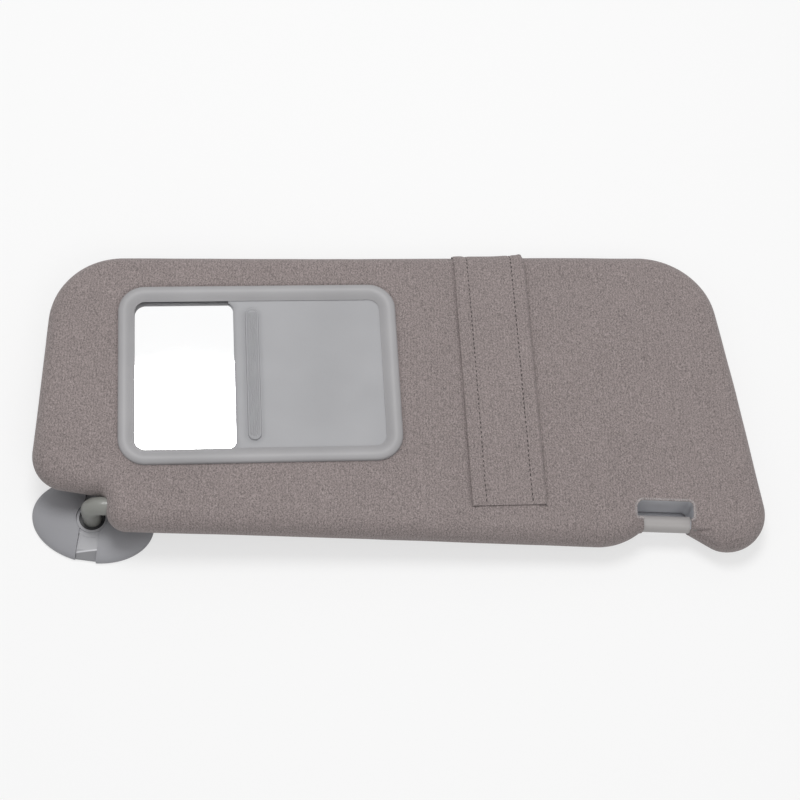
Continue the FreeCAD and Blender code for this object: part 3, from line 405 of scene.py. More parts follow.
silver, tree, shader = new_material("mirror_silver", (0.96, 0.965, 0.97), 0.02, Metallic=1.0)
haze = add_node(tree, "ShaderNodeTexNoise", Scale=14.0, Detail=2.0)
tree.links.new(object_coordinates(tree), haze.inputs["Vector"])
blend_colours(tree, shader, haze.outputs["Fac"], (0.95, 0.955, 0.96), (0.98, 0.98, 0.98))
steel, tree, shader = new_material("plain_steel", (0.55, 0.55, 0.56), 0.32, Metallic=1.0)
marks = add_node(tree, "ShaderNodeTexNoise", Scale=300.0, Detail=3.0)
tree.links.new(object_coordinates(tree, scale=(0.1, 1, 1)), marks.inputs["Vector"])
blend_colours(tree, shader, marks.outputs["Fac"], (0.48, 0.48, 0.49), (0.6, 0.6, 0.61))
add_bump(tree, shader, marks.outputs["Fac"], 0.1, 0.0001)


def dress(piece, material, slot, body, *replaced):
    piece.data.materials.clear()
    piece.data.materials.append(material)
    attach(piece, body)
    if replaced:
        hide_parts(*replaced)
    return piece


# Cloth cover
def rim_profile(steps, inset, radius, straight):
    """(inset, height) from the rear face, round the rim, to the front face."""
    half = []
    for k in range(steps + 1):
        turn = math.pi / 2 * k / steps
        half.append((inset + radius * (1 - math.cos(turn)), straight + radius * math.sin(turn)))
    return [(across, -height) for across, height in reversed(half)] + half


def hex_grid(pitch, low, high):
    rows = []
    row = 0
    y = low[1]
    while y < high[1]:
        x = low[0] + (pitch / 2 if row % 2 else 0)
        while x < high[0]:
            rows.append((x, y))
            x += pitch
        y += pitch * 0.866
        row += 1
    return rows


def clear_points(points, loops, margin):
    """Points that keep a margin from every loop's points."""
    cell = margin * 2
    taken = {}
    for loop in loops:
        for x, y in loop:
            taken.setdefault((int(x // cell), int(y // cell)), []).append((x, y))
    kept = []
    for x, y in points:
        cx, cy = int(x // cell), int(y // cell)
        near = False
        for i in (-1, 0, 1):
            for j in (-1, 0, 1):
                for px, py in taken.get((cx + i, cy + j), ()):
                    if math.hypot(px - x, py - y) < margin:
                        near = True
        if not near:
            kept.append((x, y))
    return kept


def segment_distance(x, y, a, b):
    """Distance to a segment, and how far along it the nearest point lies."""
    ax, ay = a
    bx, by = b
    length = (bx - ax) ** 2 + (by - ay) ** 2
    share = min(max(((x - ax) * (bx - ax) + (y - ay) * (by - ay)) / length, 0), 1)
    return math.hypot(x - ax - share * (bx - ax), y - ay - share * (by - ay)), share


# Where the cloth lies a little inside its outline: place, spread and distance inwards
EASES = [
    ((135.0, 160.0), (95.0, 25.0), 0.75),
    ((130.0, -14.5), (125.0, 9.0), 0.75),
    ((9.0, -3.0), (4.0, 7.0), 0.6),
    ((378.0, 85.0), (25.0, 50.0), -0.7),
    ((330.0, 175.0), (40.0, 20.0), 0.6),
]
# The cloth dips at the bezel and beside the strap, and a wide hollow lies round the notch
BEZEL_DIP, BEZEL_PUFF = 0.95, 0.12
STRAP_VALLEY, STRAP_GROOVE = 0.3, 0.55
HOLLOW_X, HOLLOW_Y, HOLLOW_DEPTH = 327.0, 16.0, 0.35


def ease(x, y):
    return sum(
        inwards * math.exp(-((x - px) / sx) ** 2 - ((y - py) / sy) ** 2)
        for (px, py), (sx, sy), inwards in EASES
    )


def cloth_lift(x, y):
    """How far the cloth on the mirror side stands above the flat face."""
    bx, by, _ = PANEL_IN_BEZEL @ Vector((x, y, 0))
    away = rectangle_distance(bx, by, BEZEL_HALF_X, BEZEL_HALF_Y, BEZEL_ROUND)
    lift = 0.16 * ripple(x, y, 0, 46) + 0.05 * ripple(x, y, 0, 13, 7.0)
    lift -= BEZEL_DIP * (1 - smooth_step(away, 0.3, 1.6))
    lift += BEZEL_PUFF * (1 - smooth_step(abs(away - 2.6), 0.0, 2.2))
    beside = abs(bx - STRAP_LEFT - STRAP_WIDTH / 2) - STRAP_WIDTH / 2
    valley = STRAP_VALLEY * (1 - smooth_step(beside, 0.6, 5.0))
    valley += STRAP_GROOVE * (1 - smooth_step(beside, 0.3, 1.3))
    lift -= valley * smooth_step(beside, -3.0, 0.0)
    from_hollow = math.hypot(x - HOLLOW_X, y - HOLLOW_Y)
    lift -= HOLLOW_DEPTH * (1 - smooth_step(from_hollow, 2.0, 26.0))
    return lift


def to_panel(x, y):
    """A point of the bezel frame in the panel frame."""
    at = BEZEL_IN_PANEL @ Vector((x, y, 0))
    return at.x, at.y


def cloth_skin():
    """Closed skin over the core, open only under the mirror unit."""
    outline = rounded_loop(CORNERS, 2.0)
    profile = rim_profile(10, 0.0, RIM, FACE - RIM)
    rings = []
    for inset, height in profile:
        ring = []
        for point, inward in outline:
            at = point + inward * inset
            sway = 0.14 * ripple(at.x, at.y, height, 21, 3.0) - ease(point.x, point.y)
            puff = 1 - smooth_step(inset, 0, RIM)
            spot = at - inward * (sway * puff)
            lift = cloth_lift(at.x, at.y) * (1 - puff) if height > 0 else 0.0
            ring.append((spot.x, spot.y, height + lift))
        rings.append(ring)
    points, faces = loft(rings)
    count = len(outline)
    top_base = len(points) - count
    top_loop = [tuple(point + inward * RIM) for point, inward in outline]

    window = rounded_rectangle(WINDOW_X, WINDOW_Y, WINDOW_ROUND, 2.5)
    window_loop = [to_panel(point.x, point.y) for point, _ in window]
    # Finer points beside the strap, round the bezel and beside the pin
    fine = []
    for beside in (-2.2, -0.9, 0.2, 0.8, 1.5, 2.6):
        for side in (STRAP_LEFT - beside, STRAP_RIGHT + beside):
            fine.extend(to_panel(side, STRAP_START - 4 + 1.5 * k) for k in range(120))
    fine = [spot for spot in clear_points(fine, [top_loop], 1.5) if inside(spot, top_loop)]
    for away in (-1.6, -0.4, 0.5, 1.2, 2.0, 3.2):
        ring = rounded_rectangle(BEZEL_HALF_X + away, BEZEL_HALF_Y + away, BEZEL_ROUND + away, 2.2)
        fine.extend(to_panel(point.x, point.y) for point, _ in ring)
    pucker = clear_points(hex_grid(1.1, (341, -4), (366, 12)), [top_loop], 0.6)
    pucker = [spot for spot in pucker if inside(spot, top_loop)]
    grid = [spot for spot in hex_grid(3.0, PANEL_LOW, PANEL_HIGH) if inside(spot, top_loop)]
    grid = clear_points(grid, [top_loop, window_loop, fine, pucker], 1.5)
    grid = [spot for spot in grid if not inside(spot, window_loop)]
    flat, triangles = fill(top_loop, [window_loop], fine + pucker + grid)
    # The rim's last ring is the first part of the filled points
    base = len(points) - count
    for x, y in flat[count:]:
        points.append((x, y, FACE + cloth_lift(x, y)))
    index = [top_base + i for i in range(count)] + [base + i for i in range(count, len(flat))]
    outer_window = [index[count + i] for i in range(len(window_loop))]
    faces.extend(tuple(index[i] for i in face) for face in triangles)

    rear = [spot for spot in hex_grid(9.0, PANEL_LOW, PANEL_HIGH) if inside(spot, top_loop)]
    rear = clear_points(rear, [top_loop], 4.5)
    flat, triangles = fill(top_loop, [], rear)
    base = len(points) - count
    for x, y in flat[count:]:
        points.append((x, y, -FACE))
    index = list(range(count)) + [base + i for i in range(count, len(flat))]
    faces.extend(tuple(index[i] for i in reversed(face)) for face in triangles)

    # Inner side of the cloth
    inner_outline = rounded_loop(CORNERS, 9.0)
    inner_profile = rim_profile(4, CLOTH, RIM - CLOTH, FACE - RIM)
    rings = []
    for inset, height in inner_profile:
        rings.append([(*(p + n * inset), height) for p, n in inner_outline])
    base = len(points)
    ring_points, ring_faces = loft(rings, base=base)
    points.extend(ring_points)
    faces.extend(ring_faces)
    inner_count = len(inner_outline)
    inner_loop = [tuple(p + n * RIM) for p, n in inner_outline]
    flat, triangles = fill(inner_loop, [window_loop], [])
    last = base + len(ring_points) - inner_count
    new_base = len(points) - inner_count
    for x, y in flat[inner_count:]:
        points.append((x, y, FACE - CLOTH))
    index = [last + i for i in range(inner_count)]
    index += [new_base + i for i in range(inner_count, len(flat))]
    faces.extend(tuple(index[i] for i in face) for face in triangles)
    inner_window = [index[inner_count + i] for i in range(len(window_loop))]
    flat, triangles = fill(inner_loop, [], [])
    faces.extend(tuple(base + i for i in reversed(face)) for face in triangles)
    total = len(window_loop)
    for i in range(total):
        j = (i + 1) % total
        faces.append((outer_window[i], outer_window[j], inner_window[j], inner_window[i]))
    return mesh_piece("cloth_skin", points, faces, PANEL)


def prism(corners, step, low, high, place):
    loop = rounded_loop(corners, step)
    rings = [[(p.x, p.y, z) for p, _ in loop] for z in (low, high)]
    points, faces = loft(rings, True, True)
    return mesh_piece("cutter", points, faces, place)


def bar(radius, start, finish):
    """Round cutter along the pivot axis."""
    rings = [[(x, y, z) for y, z in circle(radius, 48)] for x in (start, finish)]
    points, faces = loft(rings, True, True)
    return mesh_piece("cutter", points, faces, PANEL)


def upright_bar(radius, low, high):
    """Round cutter along the swivel axis."""
    rings = [[(x, y, z) for x, y in circle(radius, 64)] for z in (low, high)]
    points, faces = loft(rings, True, True)
    return mesh_piece("cutter", points, faces, BRACKET)


def carve(piece, cutters):
    for cutter in cutters:
        step = piece.modifiers.new("carve", "BOOLEAN")
        step.operation = "DIFFERENCE"
        step.solver = "EXACT"
        step.object = cutter
        graph = bpy.context.evaluated_depsgraph_get()
        carved = bpy.data.meshes.new_from_object(piece.evaluated_get(graph))
        piece.modifiers.clear()
        piece.data = carved
        bpy.data.objects.remove(cutter)


# The padding is fullest at the mouth, where it closes round the pin's ends
MOUTH_LEFT, MOUTH_RIGHT, RUN_OUT = PIN_LEFT + 1.2, PIN_RIGHT + 0.5, -36.5
NOTCH = [
    (MOUTH_LEFT, RUN_OUT, 0.7), (MOUTH_RIGHT, RUN_OUT, 0.7), (MOUTH_RIGHT, MOUTH, 4.0),
    (PIN_RIGHT, NOTCH_STEP, 0.7), (NOTCH_RIGHT, NOTCH_STEP, 0.7), (NOTCH_RIGHT, NOTCH_DEPTH, 3.5),
    (NOTCH_LEFT, NOTCH_DEPTH, 5.0), (NOTCH_LEFT, NOTCH_STEP, 2.2), (PIN_LEFT, NOTCH_STEP, 0.9),
    (MOUTH_LEFT, MOUTH, 4.0),
]
# Creases where the cloth is drawn in beside the pin: points along each, its depth and half width
CREASES = [
    ([(343.4, -4.8), (347.5, -5.8), (351.5, -6.2), (354.5, -6.0)], 1.25, 0.9),
    ([(344.6, -5.4), (350.5, -8.6), (356.0, -11.9), (360.0, -13.8)], 0.8, 0.7),
]
CREASED_LEFT, CREASED_RIGHT, CREASED_LOW, CREASED_BACK = 341, 364, -16, 1.5


def crease_depth(x, y):
    """Depth of the creases at a point, negative on the soft folds beside them."""
    depth = 0.0
    for path, deepest, width in CREASES:
        for i in range(len(path) - 1):
            away, share = segment_distance(x, y, path[i], path[i + 1])
            along = (i + share) / (len(path) - 1)
            fade = (1 - along) ** 0.5 * smooth_step(along, -0.05, 0.2)
            line = deepest * fade * (1 - smooth_step(away, 0.0, width))
            fold = 0.4 * deepest * fade * (1 - smooth_step(abs(away - 1.9), 0.0, 1.6))
            if line > 0.01:
                depth = max(depth, line)
            elif depth <= 0:
                depth = min(depth, -fold)
    return depth


def is_creased(spot, high):
    """Whether a point of the skin lies in the creased stretch beside the pin."""
    x, y, z = spot
    return CREASED_LEFT < x < CREASED_RIGHT and CREASED_LOW < y < high and z > CREASED_BACK


def draw_in(piece):
    """Finer faces beside the pin, pressed in along the creases."""
    inverse = PANEL.inverted()
    outward = PANEL.to_3x3() @ Vector((0, 0, 1))
    shape = bmesh.new()
    shape.from_mesh(piece.data)
    for _ in range(2):
        near = []
        for face in shape.faces:
            middle = inverse @ (face.calc_center_median() / MM)
            if is_creased(middle, 4) and face.normal.dot(outward) > 0.1:
                near.append(face)
        edges = list({edge for face in near for edge in face.edges})
        bmesh.ops.subdivide_edges(shape, edges=edges, cuts=1, use_grid_fill=True, smooth=0.0)
    shape.normal_update()
    moves = []
    for point in shape.verts:
        spot = inverse @ (point.co / MM)
        if is_creased(spot, 6):
            depth = crease_depth(spot.x, spot.y)
            if depth:
                moves.append((point, point.normal * depth * MM))
    for point, move in moves:
        point.co -= move
    shape.to_mesh(piece.data)
    shape.free()


skin = cloth_skin()
tidy_normals(skin)
draw_in(skin)
carve(skin, [
    prism(NOTCH, 1.0, -22, 22, PANEL),
    bar(PIN_RADIUS + 0.1, PIN_LEFT - PIN_SEAT - 0.1, PIN_RIGHT + PIN_SEAT + 0.1),
    bar(ARM_BORE, 0.0, 22.0),
])
tidy_normals(skin, 50)
dress(skin, cloth_knit, "cloth", "visor", "cloth_cover")


# Turned-in edge of the cloth round the notch, on both faces
def rim_height(y):
    """Height of the cloth's face near the mouth of the notch."""
    inset = min(max(y - MOUTH, 0.0), RIM)
    return FACE - RIM + math.sqrt(max(RIM * RIM - (RIM - inset) ** 2, 0.0))


def tube(path, radius, sides, place, name):
    """Round bar along a path, thinner at its ends."""
    rings = []
    count = len(path)
    for i, point in enumerate(path):
        before = path[i - 1] if i else point
        after = path[i + 1] if i < count - 1 else point
        along = (Vector(after) - Vector(before)).normalized()
        side = along.cross(Vector((0, 0, 1)))
        side = side.normalized() if side.length > 1e-6 else Vector((1, 0, 0))
        up = side.cross(along)
        size = radius * min(1.0, (i + 0.6) / 2, (count - i - 0.4) / 2)
        rings.append([tuple(Vector(point) + side * a + up * b) for a, b in circle(size, sides)])
    points, faces = loft(rings, True, True)
    return mesh_piece(name, points, faces, place)


def notch_hem(face, name, radius, reach, material):
    """Rolled edge round the notch, left open at the mouth."""
    path = []
    for point, inward in rounded_loop(NOTCH, 0.9):
        at_pin = point.x < PIN_LEFT + 0.3 and point.y < NOTCH_STEP - 0.4
        if point.y < MOUTH + 3.6 or at_pin:
            continue
        at = point + inward * reach
        path.append((at.x, at.y, face * (rim_height(point.y) - 0.25)))
    start = max(range(len(path)), key=lambda i: (Vector(path[i]) - Vector(path[i - 1])).length)
    path = path[start:] + path[:start]
    hem = tube(path, radius, 10, PANEL, name)
    return dress(hem, material, "cloth", "visor")


notch_hem(1, "notch_hem_front", 0.8, -0.15, hem_knit)
notch_hem(-1, "notch_hem_rear", 1.2, 1.0, liner_grey)


# Strap: a hemmed band over the far edge
def far_edge(x):
    """Far edge of the panel in the bezel frame."""
    a = PANEL_IN_BEZEL @ Vector((*CORNERS[7][:2], 0))
    b = PANEL_IN_BEZEL @ Vector((*CORNERS[6][:2], 0))
    return a.y + (b.y - a.y) * (x - a.x) / (b.x - a.x)


SEAM_INSET, SEAM_DEPTH = 8.0, 0.5
EDGE_LIFT = 0.5
# Steps of the band's path along each face and round each half of the far edge
FLAT_POINTS, TURN_POINTS = 48, 12
# At the far edge the band lies deeper, apart from a rise near its right hem
OVER_START, OVER_RISE, OVER_SINK = 40, 0.7, 0.8
STITCH_PITCH, STITCH_LENGTH, STITCH_SINK = 3.0, 2.1, 0.16
# Radius of a stitch at its quarters
STITCH_RADII = (0.1, 0.3, 0.34, 0.3, 0.1)


def strap_path(x, offset):
    """Points (y, z) and outward normals of the band at one x."""
    edge = far_edge(x)
    radius = RIM + offset
    top = FACE + offset
    line = []
    for k in range(FLAT_POINTS + 1):
        y = STRAP_START + (edge - RIM - STRAP_START) * k / FLAT_POINTS
        line.append(((y, top), (0, 1)))
    for k in range(1, TURN_POINTS):
        turn = math.pi / 2 * k / TURN_POINTS
        line.append((
            (edge - RIM + radius * math.sin(turn), FACE - RIM + radius * math.cos(turn)),
            (math.sin(turn), math.cos(turn)),
        ))
    rear = [((y, -z), (ny, -nz)) for (y, z), (ny, nz) in reversed(line)]
    return line + rear


def strap_swell(u, v):
    """Extra thickness across and along the band: rolled edges and seams."""
    swell = 0.0
    for seam in (SEAM_INSET, STRAP_WIDTH - SEAM_INSET):
        swell -= SEAM_DEPTH * math.exp(-((u - seam) / 0.75) ** 2)
    edge = min(u, STRAP_WIDTH - u)
    if edge < SEAM_INSET:
        swell += 0.3 * math.sin(math.pi * edge / SEAM_INSET)
    else:
        swell += 0.12
    swell += 0.1 * ripple(u * 2, v, 0, 24, 5.0) + 0.7 * math.exp(-((STRAP_WIDTH - 1.2 - u) / 1.5) ** 2)
    return swell


def over_lift(u, k, stations):
    """Change of the band's distance from the panel where it turns over the far edge."""
    over = math.sin(math.pi * min(max((k - OVER_START) / (stations - 2 * OVER_START), 0), 1))
    rise = smooth_step(u, 20, 38) * (1 - smooth_step(u, 41.5, STRAP_WIDTH))
    return over * (OVER_RISE * rise - OVER_SINK)


def strap_band():
    offset = STRAP_GAP + STRAP_THICK
    rim = [0.0, 0.1, 0.4, 0.9, 1.6]
    across = [u for u in rim + [2.4 + 1.0 * k for k in range(39)] if u < STRAP_WIDTH - 2]
    across += [STRAP_WIDTH - u for u in reversed(rim)]
    rings = []
    stations = len(strap_path(STRAP_LEFT, offset))
    for k in range(stations):
        ring = []
        end = min(k, stations - 1 - k)
        tuck = 0.55 if end == 0 else (0.15 if end == 1 else 0.0)
        drift = 0.35 * ripple(0, k * 4.0, 0, 40, 2.0)
        for u in across:
            x = STRAP_LEFT + u + drift
            (y, z), (ny, nz) = strap_path(x, offset)[k]
            edge = min(u, STRAP_WIDTH - u)
            curl = 0.5 * (1 - min(edge / 0.9, 1.0)) ** 2
            push = strap_swell(u, k * 5.0) * smooth_step(edge, 0.0, 1.0)
            push += over_lift(u, k, stations) - curl - tuck
            ring.append((x, y + ny * push, z + nz * push))
        for u in reversed(across):
            x = STRAP_LEFT + u + drift
            lift = EDGE_LIFT * (1 - smooth_step(min(u, STRAP_WIDTH - u), 0.0, 2.5))
            (y, z), _ = strap_path(x, STRAP_GAP + lift)[k]
            ring.append((x, y, z))
        rings.append(ring)
    points, faces = loft(rings, True, True)
    return mesh_piece("strap_band", points, faces, BEZEL, sharp=60)


dress(strap_band(), strap_knit, "strap_cloth", "visor", "strap")


def stitch_row(name, u):
    """Short stitches sunk along one seam of the strap."""
    offset = STRAP_GAP + STRAP_THICK - 0.28
    points, faces = [], []
    x = STRAP_LEFT + u
    line = strap_path(x, offset)
    walk = [0.0]
    for i in range(1, len(line)):
        (ay, az), (by, bz) = line[i - 1][0], line[i][0]
        walk.append(walk[-1] + math.hypot(by - ay, bz - az))

    def at(distance):
        i = 0
        while i < len(walk) - 2 and walk[i + 1] < distance:
            i += 1
        share = (distance - walk[i]) / (walk[i + 1] - walk[i])
        (ay, az), (an, am) = line[i]
        (by, bz), (bn, bm) = line[i + 1]
        lift = over_lift(u, i + share, len(line))
        ny, nz = an + (bn - an) * share, am + (bm - am) * share
        return ay + (by - ay) * share + ny * lift, az + (bz - az) * share + nz * lift

    place = 2.0
    number = 0
    while place < walk[-1] - STITCH_PITCH:
        drift = 0.35 * ripple(0, place, 0, 40, 2.0) + 0.12 * ripple(number, 3.1, 0, 1.7)
        base = len(points)
        rings = []
        for k, size in enumerate(STITCH_RADII):
            y, z = at(place + STITCH_LENGTH * k / 4)
            y2, z2 = at(place + STITCH_LENGTH * k / 4 + 0.1)
            along = Vector((0, y2 - y, z2 - z)).normalized()
            side = Vector((1, 0, 0))
            up = side.cross(along)
            sink = -STITCH_SINK if k in (0, 4) else 0.0
            centre = Vector((x + drift, y, z)) + up * sink * (1 if up.z > 0 else -1)
            rings.append([tuple(centre + side * a + up * (0.8 * b)) for a, b in circle(size, 8)])
        new_points, new_faces = loft(rings, True, True, base=base)
        points.extend(new_points)
        faces.extend(new_faces)
        place += STITCH_PITCH
        number += 1
    row = mesh_piece(name, points, faces, BEZEL)
    return dress(row, thread_grey, "strap_cloth", "visor")


stitch_row("strap_stitches_left", SEAM_INSET)
stitch_row("strap_stitches_right", STRAP_WIDTH - SEAM_INSET)


# Bezel: soft roll with its crest near the outer edge
def bezel_ring():
    profile = [
        (9.5, 9.9), (9.5, 10.6), (9.4, 11.15), (9.15, 11.65), (8.75, 12.1), (8.2, 12.5), (7.5, 12.82),
        (6.7, 13.03), (5.9, 13.1), (5.1, 13.03), (4.3, 12.83), (3.5, 12.5), (2.7, 12.05), (2.0, 11.56),
        (1.4, 11.08), (0.85, 10.62), (0.4, 10.24), (0.12, 10.04), (0.0, 9.95), (0.15, 9.82), (4.6, 9.82),
        (4.6, 9.9),
    ]
    loop = rounded_rectangle(BEZEL_HALF_X, BEZEL_HALF_Y, BEZEL_ROUND, 6.0)
    rings = []
    for point, inward in loop:
        at = [point + inward * (BAND - across) for across, _ in profile]
        rings.append([(at[i].x, at[i].y, profile[i][1]) for i in range(len(profile))])
    rings.append(rings[0])
    points, faces = loft(rings)
    shape = mesh_piece("bezel_ring", points, faces, BEZEL)
    merge_doubles(shape, 1e-6)
    tidy_normals(shape, 70)
    return dress(shape, bezel_grey, "bezel_plastic", "visor", "mirror_bezel")


bezel_ring()


# Sliding cover: thin plate with two horns, a moat and a ribbed grip
def stadium(offset, steps=14):
    radius = GRIP_RADIUS + offset
    straight = GRIP_HALF - GRIP_RADIUS
    loop = []
    for sign, first in ((1, 0.0), (-1, math.pi)):
        for k in range(steps + 1):
            turn = first + math.pi * k / steps
            loop.append((GRIP_X + radius * math.cos(turn), sign * straight + radius * math.sin(turn)))
    return loop


def cover_outline():
    """Outline of the plate, its leading edge rounded into the two horns."""
    reach = 2.8
    radius = 5.0
    loop = [(COVER_TAIL, COVER_Y), (COVER_LEAD - reach, COVER_Y)]
    limit = math.acos((radius - reach) / radius)
    for k in range(9):
        turn = limit * (1 - k / 8)
        x = COVER_LEAD - radius + radius * math.cos(turn)
        loop.append((x, OPEN_Y - radius + radius * math.sin(turn)))
    lower = [(x, -y) for x, y in reversed(loop)]
    return loop + lower


# Grip, from the moat inwards: distance outside the grip's outline and height
GRIP_PROFILE = [
    (MOAT, 9.5), (3.4, 9.47), (2.6, 9.4), (1.8, 9.26), (1.2, 9.1), (0.7, 8.95), (0.4, 8.88),
    (0.15, 8.98), (0.03, 9.5), (-0.05, 10.0), (-0.2, 10.26), (-0.5, 10.36), (-0.8, 10.3),
    (-0.98, 10.1), (-1.1, 9.92), (-1.6, 9.9),
]
RIB_PITCH, RIB_HALF, RIB_HEIGHT, RIB_FOOT, RIBS = 1.22, 0.38, 0.62, 9.86, 4
# Rounded ends of a rib: distance from its end and share of its full section
RIB_ENDS = [(0.0, 0.25), (0.3, 0.8), (0.9, 1.0)]
COVER_EDGE = 0.35


def cover_panel():
    outline = cover_outline()
    count = len(outline)
    inner = []
    for i in range(count):
        a, b, c = (Vector(outline[(i + step) % count]) for step in (-1, 0, 1))
        first, second = (b - a).normalized(), (c - b).normalized()
        inward = Vector((-first.y - second.y, first.x + second.x)).normalized()
        inner.append(tuple(b + inward * COVER_EDGE))
    middle = [(x * 0.3 + a * 0.7, y * 0.3 + b * 0.7) for (x, y), (a, b) in zip(outline, inner)]
    levels = [
        (outline, COVER_TOP - COVER_THICK), (outline, COVER_TOP - COVER_EDGE),
        (middle, COVER_TOP - 0.12), (inner, COVER_TOP),
    ]
    rings = [[(x, y, height) for x, y in loop] for loop, height in levels]
    points, faces = loft(rings, True)
    edge = stadium(MOAT)
    flat, triangles = fill(inner, [edge], [])
    index = [3 * count + i for i in range(count)]
    base = len(points)
    points.extend((x, y, COVER_TOP) for x, y in flat[count:])
    index += [base + i for i in range(len(edge))]
    faces.extend(tuple(index[i] for i in face) for face in triangles)
    rings = [[(x, y, height) for x, y in stadium(offset)] for offset, height in GRIP_PROFILE]
    ring_points, ring_faces = loft(rings, False, True, base=len(points))
    points.extend(ring_points)
    faces.extend(ring_faces)
    # Lengthwise ribs with rounded ends
    for k in range(RIBS):
        across = (k - (RIBS - 1) / 2) * RIB_PITCH
        x = GRIP_X + across
        half = GRIP_HALF - GRIP_RADIUS + math.sqrt((GRIP_RADIUS - 1.4) ** 2 - across ** 2) - 0.5
        ends = [(away - half, size) for away, size in RIB_ENDS]
        ends += [(half - away, size) for away, size in reversed(RIB_ENDS)]
        sections = []
        for y, size in ends:
            sections.append([
                (x + RIB_HALF * size * a, y, RIB_FOOT + RIB_HEIGHT * size * max(b, -0.2))
                for a, b in circle(1, 12)
            ])
        rib_points, rib_faces = loft(sections, True, True, base=len(points))
        points.extend(rib_points)
        faces.extend(rib_faces)
    shape = mesh_piece("cover_panel", points, faces, BEZEL)
    merge_doubles(shape, 1e-7)
    tidy_normals(shape, 55)
    return dress(shape, cover_grey, "cover_plastic", "mirror_door", "slide_cover")


cover_panel()


# Roof bracket: two smooth lobes beside the centre strip
def slab(left, right, step, low, high):
    """Flat cutter across the bracket."""
    corners = [(left, -60, 0.1), (right, -60, 0.1), (right, 60, 0.1), (left, 60, 0.1)]
    return prism(corners, step, low, high, BRACKET)


def shell_room(side):
    """Hollow under one cap."""
    bands = 10
    rings = []
    for k in range(bands):
        rise = math.pi / 2 * k / bands
        height = (DOME_HEIGHT - CAP_WALL) * math.sin(rise)
        rings.append([
            (
                side * max(side * (DOME_LONG - CAP_WALL) * math.cos(rise) * a, STRIP_HALF + 2.0),
                (DOME_SHORT - CAP_WALL) * math.cos(rise) * b, height,
            )
            for a, b in circle(1, 64)
        ])
    rings.insert(0, [(x, y, -5.0) for x, y, _ in rings[0]])
    points, faces = loft(rings, True, True)
    return mesh_piece("cutter", points, faces, BRACKET)


def lobe(side, name, node):
    """One domed cap, cut off beside the strip and round the collar."""
    bands = 20
    turned = Matrix.Rotation(LOBE_TURN, 3, "Z")
    rings = []
    for k in range(bands):
        rise = math.pi / 2 * k / bands
        long, short = DOME_LONG * math.cos(rise), DOME_SHORT * math.cos(rise)
        height = DOME_HEIGHT * math.sin(rise) ** 0.75
        rings.append([
            tuple(turned @ Vector((long * a, short * b, height))) for a, b in circle(1, 96)
        ])
    rings.insert(0, [(x, y, -0.0) for x, y, _ in rings[0]])
    points, faces = loft(rings, True, True)
    whole = mesh_piece(name, points, faces, BRACKET)
    left = -80.0 if side > 0 else -STRIP_HALF
    right = STRIP_HALF if side > 0 else 80.0
    carve(whole, [
        slab(left, right, 60, -9, 30),
        upright_bar(COLLAR_RADIUS + CAP_GAP, 3.0, 30),
        upright_bar(HUB_RADIUS + CAP_GAP, -9.0, HUB_HEIGHT + CAP_GAP),
        slab(-80, 80, 80, -9, 0.4),
        shell_room(side),
    ])
    tidy_normals(whole, 40)
    return dress(whole, bracket_grey, "bracket_plastic", "bracket", node)


lobe(-1, "dome_left", "cap_left")
lobe(1, "dome_right", "cap_right")

# CAD nodes that are shown as they are
MATERIALS = {
    "bracket_base": strip_grey,
    "pivot_rod": steel,
    "arm_sleeve": sleeve_grey,
    "thrust_washer": steel,
    "swivel_spring": steel,
    "retaining_ring": steel,
    "core_front": core_grey,
    "core_rear": core_grey,
    "rod_bush": inner_grey,
    "rod_carrier": inner_grey,
    "detent_spring": steel,
    "carrier_screws": steel,
    "mirror_tray": inner_grey,
    "mirror_tape": tape_white,
    "mirror_glass": silver,
    "pin_holder": liner_grey,
    "hook_pin": pin_grey,
}
for name, material in MATERIALS.items():
    node = nodes[name]
    node.data.materials.clear()
    node.data.materials.append(material)
    node.data.shade_smooth()
    node.data.set_sharp_from_angle(angle=math.radians(35))

# Floor, lights and camera
floor_mesh = bpy.data.meshes.new("floor")
floor_mesh.from_pydata([(-4, -4, 0), (4, -4, 0), (4, 4, 0), (-4, 4, 0)], [], [(0, 1, 2, 3)])
floor = bpy.data.objects.new("floor", floor_mesh)
bpy.context.scene.collection.objects.link(floor)
floor.location.z = min(cad_box[0][2], 0.0) - 0.0002
paper, paper_tree, paper_shader = new_material("paper", (0.9, 0.9, 0.9), 0.9)
glow = add_node(paper_tree, "ShaderNodeEmission", Strength=1.0)
glow.inputs["Color"].default_value = (1, 1, 1, 1)
paper_path = add_node(paper_tree, "ShaderNodeLightPath")
glow_share = add_node(paper_tree, "ShaderNodeMath", operation="MULTIPLY")
glow_share.inputs[1].default_value = 0.62
paper_mix = add_node(paper_tree, "ShaderNodeMixShader")
paper_out = paper_tree.nodes["Material Output"]
paper_tree.links.new(paper_path.outputs["Is Camera Ray"], glow_share.inputs[0])
paper_tree.links.new(glow_share.outputs["Value"], paper_mix.inputs["Fac"])
paper_tree.links.new(paper_shader.outputs["BSDF"], paper_mix.inputs[1])
paper_tree.links.new(glow.outputs["Emission"], paper_mix.inputs[2])
paper_tree.links.new(paper_mix.outputs["Shader"], paper_out.inputs["Surface"])
floor_mesh.materials.append(paper)

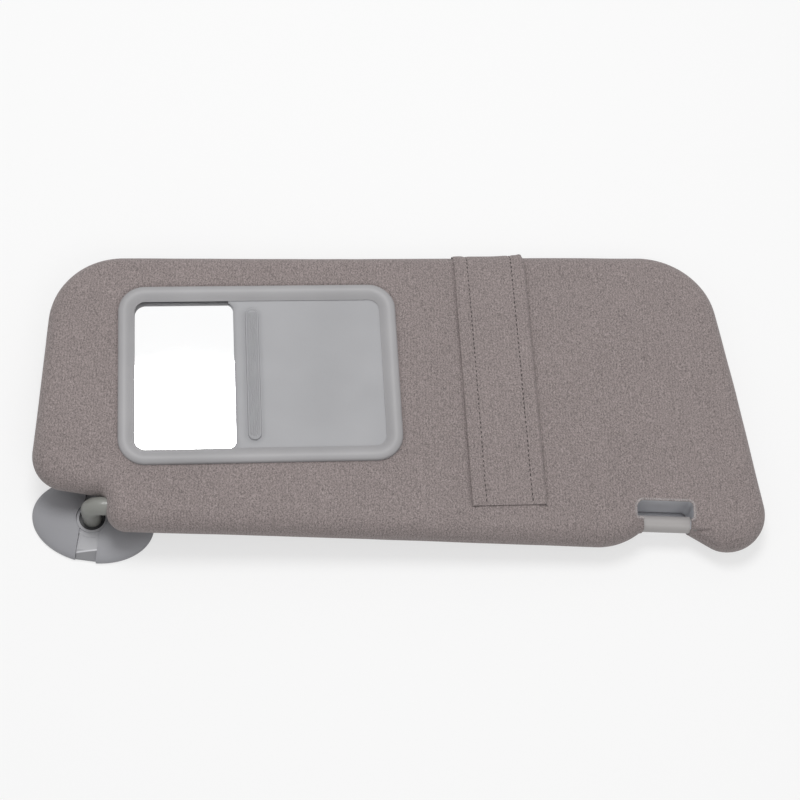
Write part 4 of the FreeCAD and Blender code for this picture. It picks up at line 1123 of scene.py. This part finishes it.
world = bpy.data.worlds.new("studio")
bpy.context.scene.world = world
world.use_nodes = True
tree = world.node_tree
tree.nodes.clear()
path = add_node(tree, "ShaderNodeLightPath")
seen = add_node(tree, "ShaderNodeMath", operation="MAXIMUM")
tree.links.new(path.outputs["Is Camera Ray"], seen.inputs[0])
tree.links.new(path.outputs["Is Glossy Ray"], seen.inputs[1])
through = add_node(tree, "ShaderNodeMath", operation="MAXIMUM")
tree.links.new(seen.outputs["Value"], through.inputs[0])
tree.links.new(path.outputs["Is Transmission Ray"], through.inputs[1])
ambient = add_node(tree, "ShaderNodeBackground", Strength=0.46)
ambient.inputs["Color"].default_value = (1, 1, 1, 1)
backdrop = add_node(tree, "ShaderNodeBackground", Strength=1.0)
backdrop.inputs["Color"].default_value = (1, 1, 1, 1)
mixed = add_node(tree, "ShaderNodeMixShader")
out = add_node(tree, "ShaderNodeOutputWorld")
tree.links.new(through.outputs["Value"], mixed.inputs["Fac"])
tree.links.new(ambient.outputs["Background"], mixed.inputs[1])
tree.links.new(backdrop.outputs["Background"], mixed.inputs[2])
tree.links.new(mixed.outputs["Shader"], out.inputs["Surface"])


def soft_light(name, place, target, across, power):
    light = bpy.data.lights.new(name, "AREA")
    light.shape = "DISK"
    light.size = across
    light.energy = power
    lamp = bpy.data.objects.new(name, light)
    bpy.context.scene.collection.objects.link(lamp)
    lamp.location = place
    lamp.rotation_euler = (Vector(target) - Vector(place)).to_track_quat("-Z", "Y").to_euler()


soft_light("key", (0.08, 0.45, 1.35), (0.17, 0.07, 0), 0.55, 9)
soft_light("fill", (0.7, -1.1, 1.7), (0.17, 0.07, 0), 1.0, 5)

camera_data = bpy.data.cameras.new("camera")
camera_data.lens = 83.16
camera_data.sensor_width = 36.0
camera = bpy.data.objects.new("camera", camera_data)
bpy.context.scene.collection.objects.link(camera)
right = Vector((0.99855, 0.00201, 0.05387)).normalized()
forward = Vector((0.04872, 0.39419, -0.91774)).normalized()
up = right.cross(forward).normalized()
turned = Matrix((right, up, -forward)).transposed().to_4x4()
camera.matrix_world = Matrix.Translation((0.12297, -0.35521, 1.01484)) @ turned
bpy.context.scene.camera = camera
bpy.context.scene.view_settings.view_transform = "Standard"
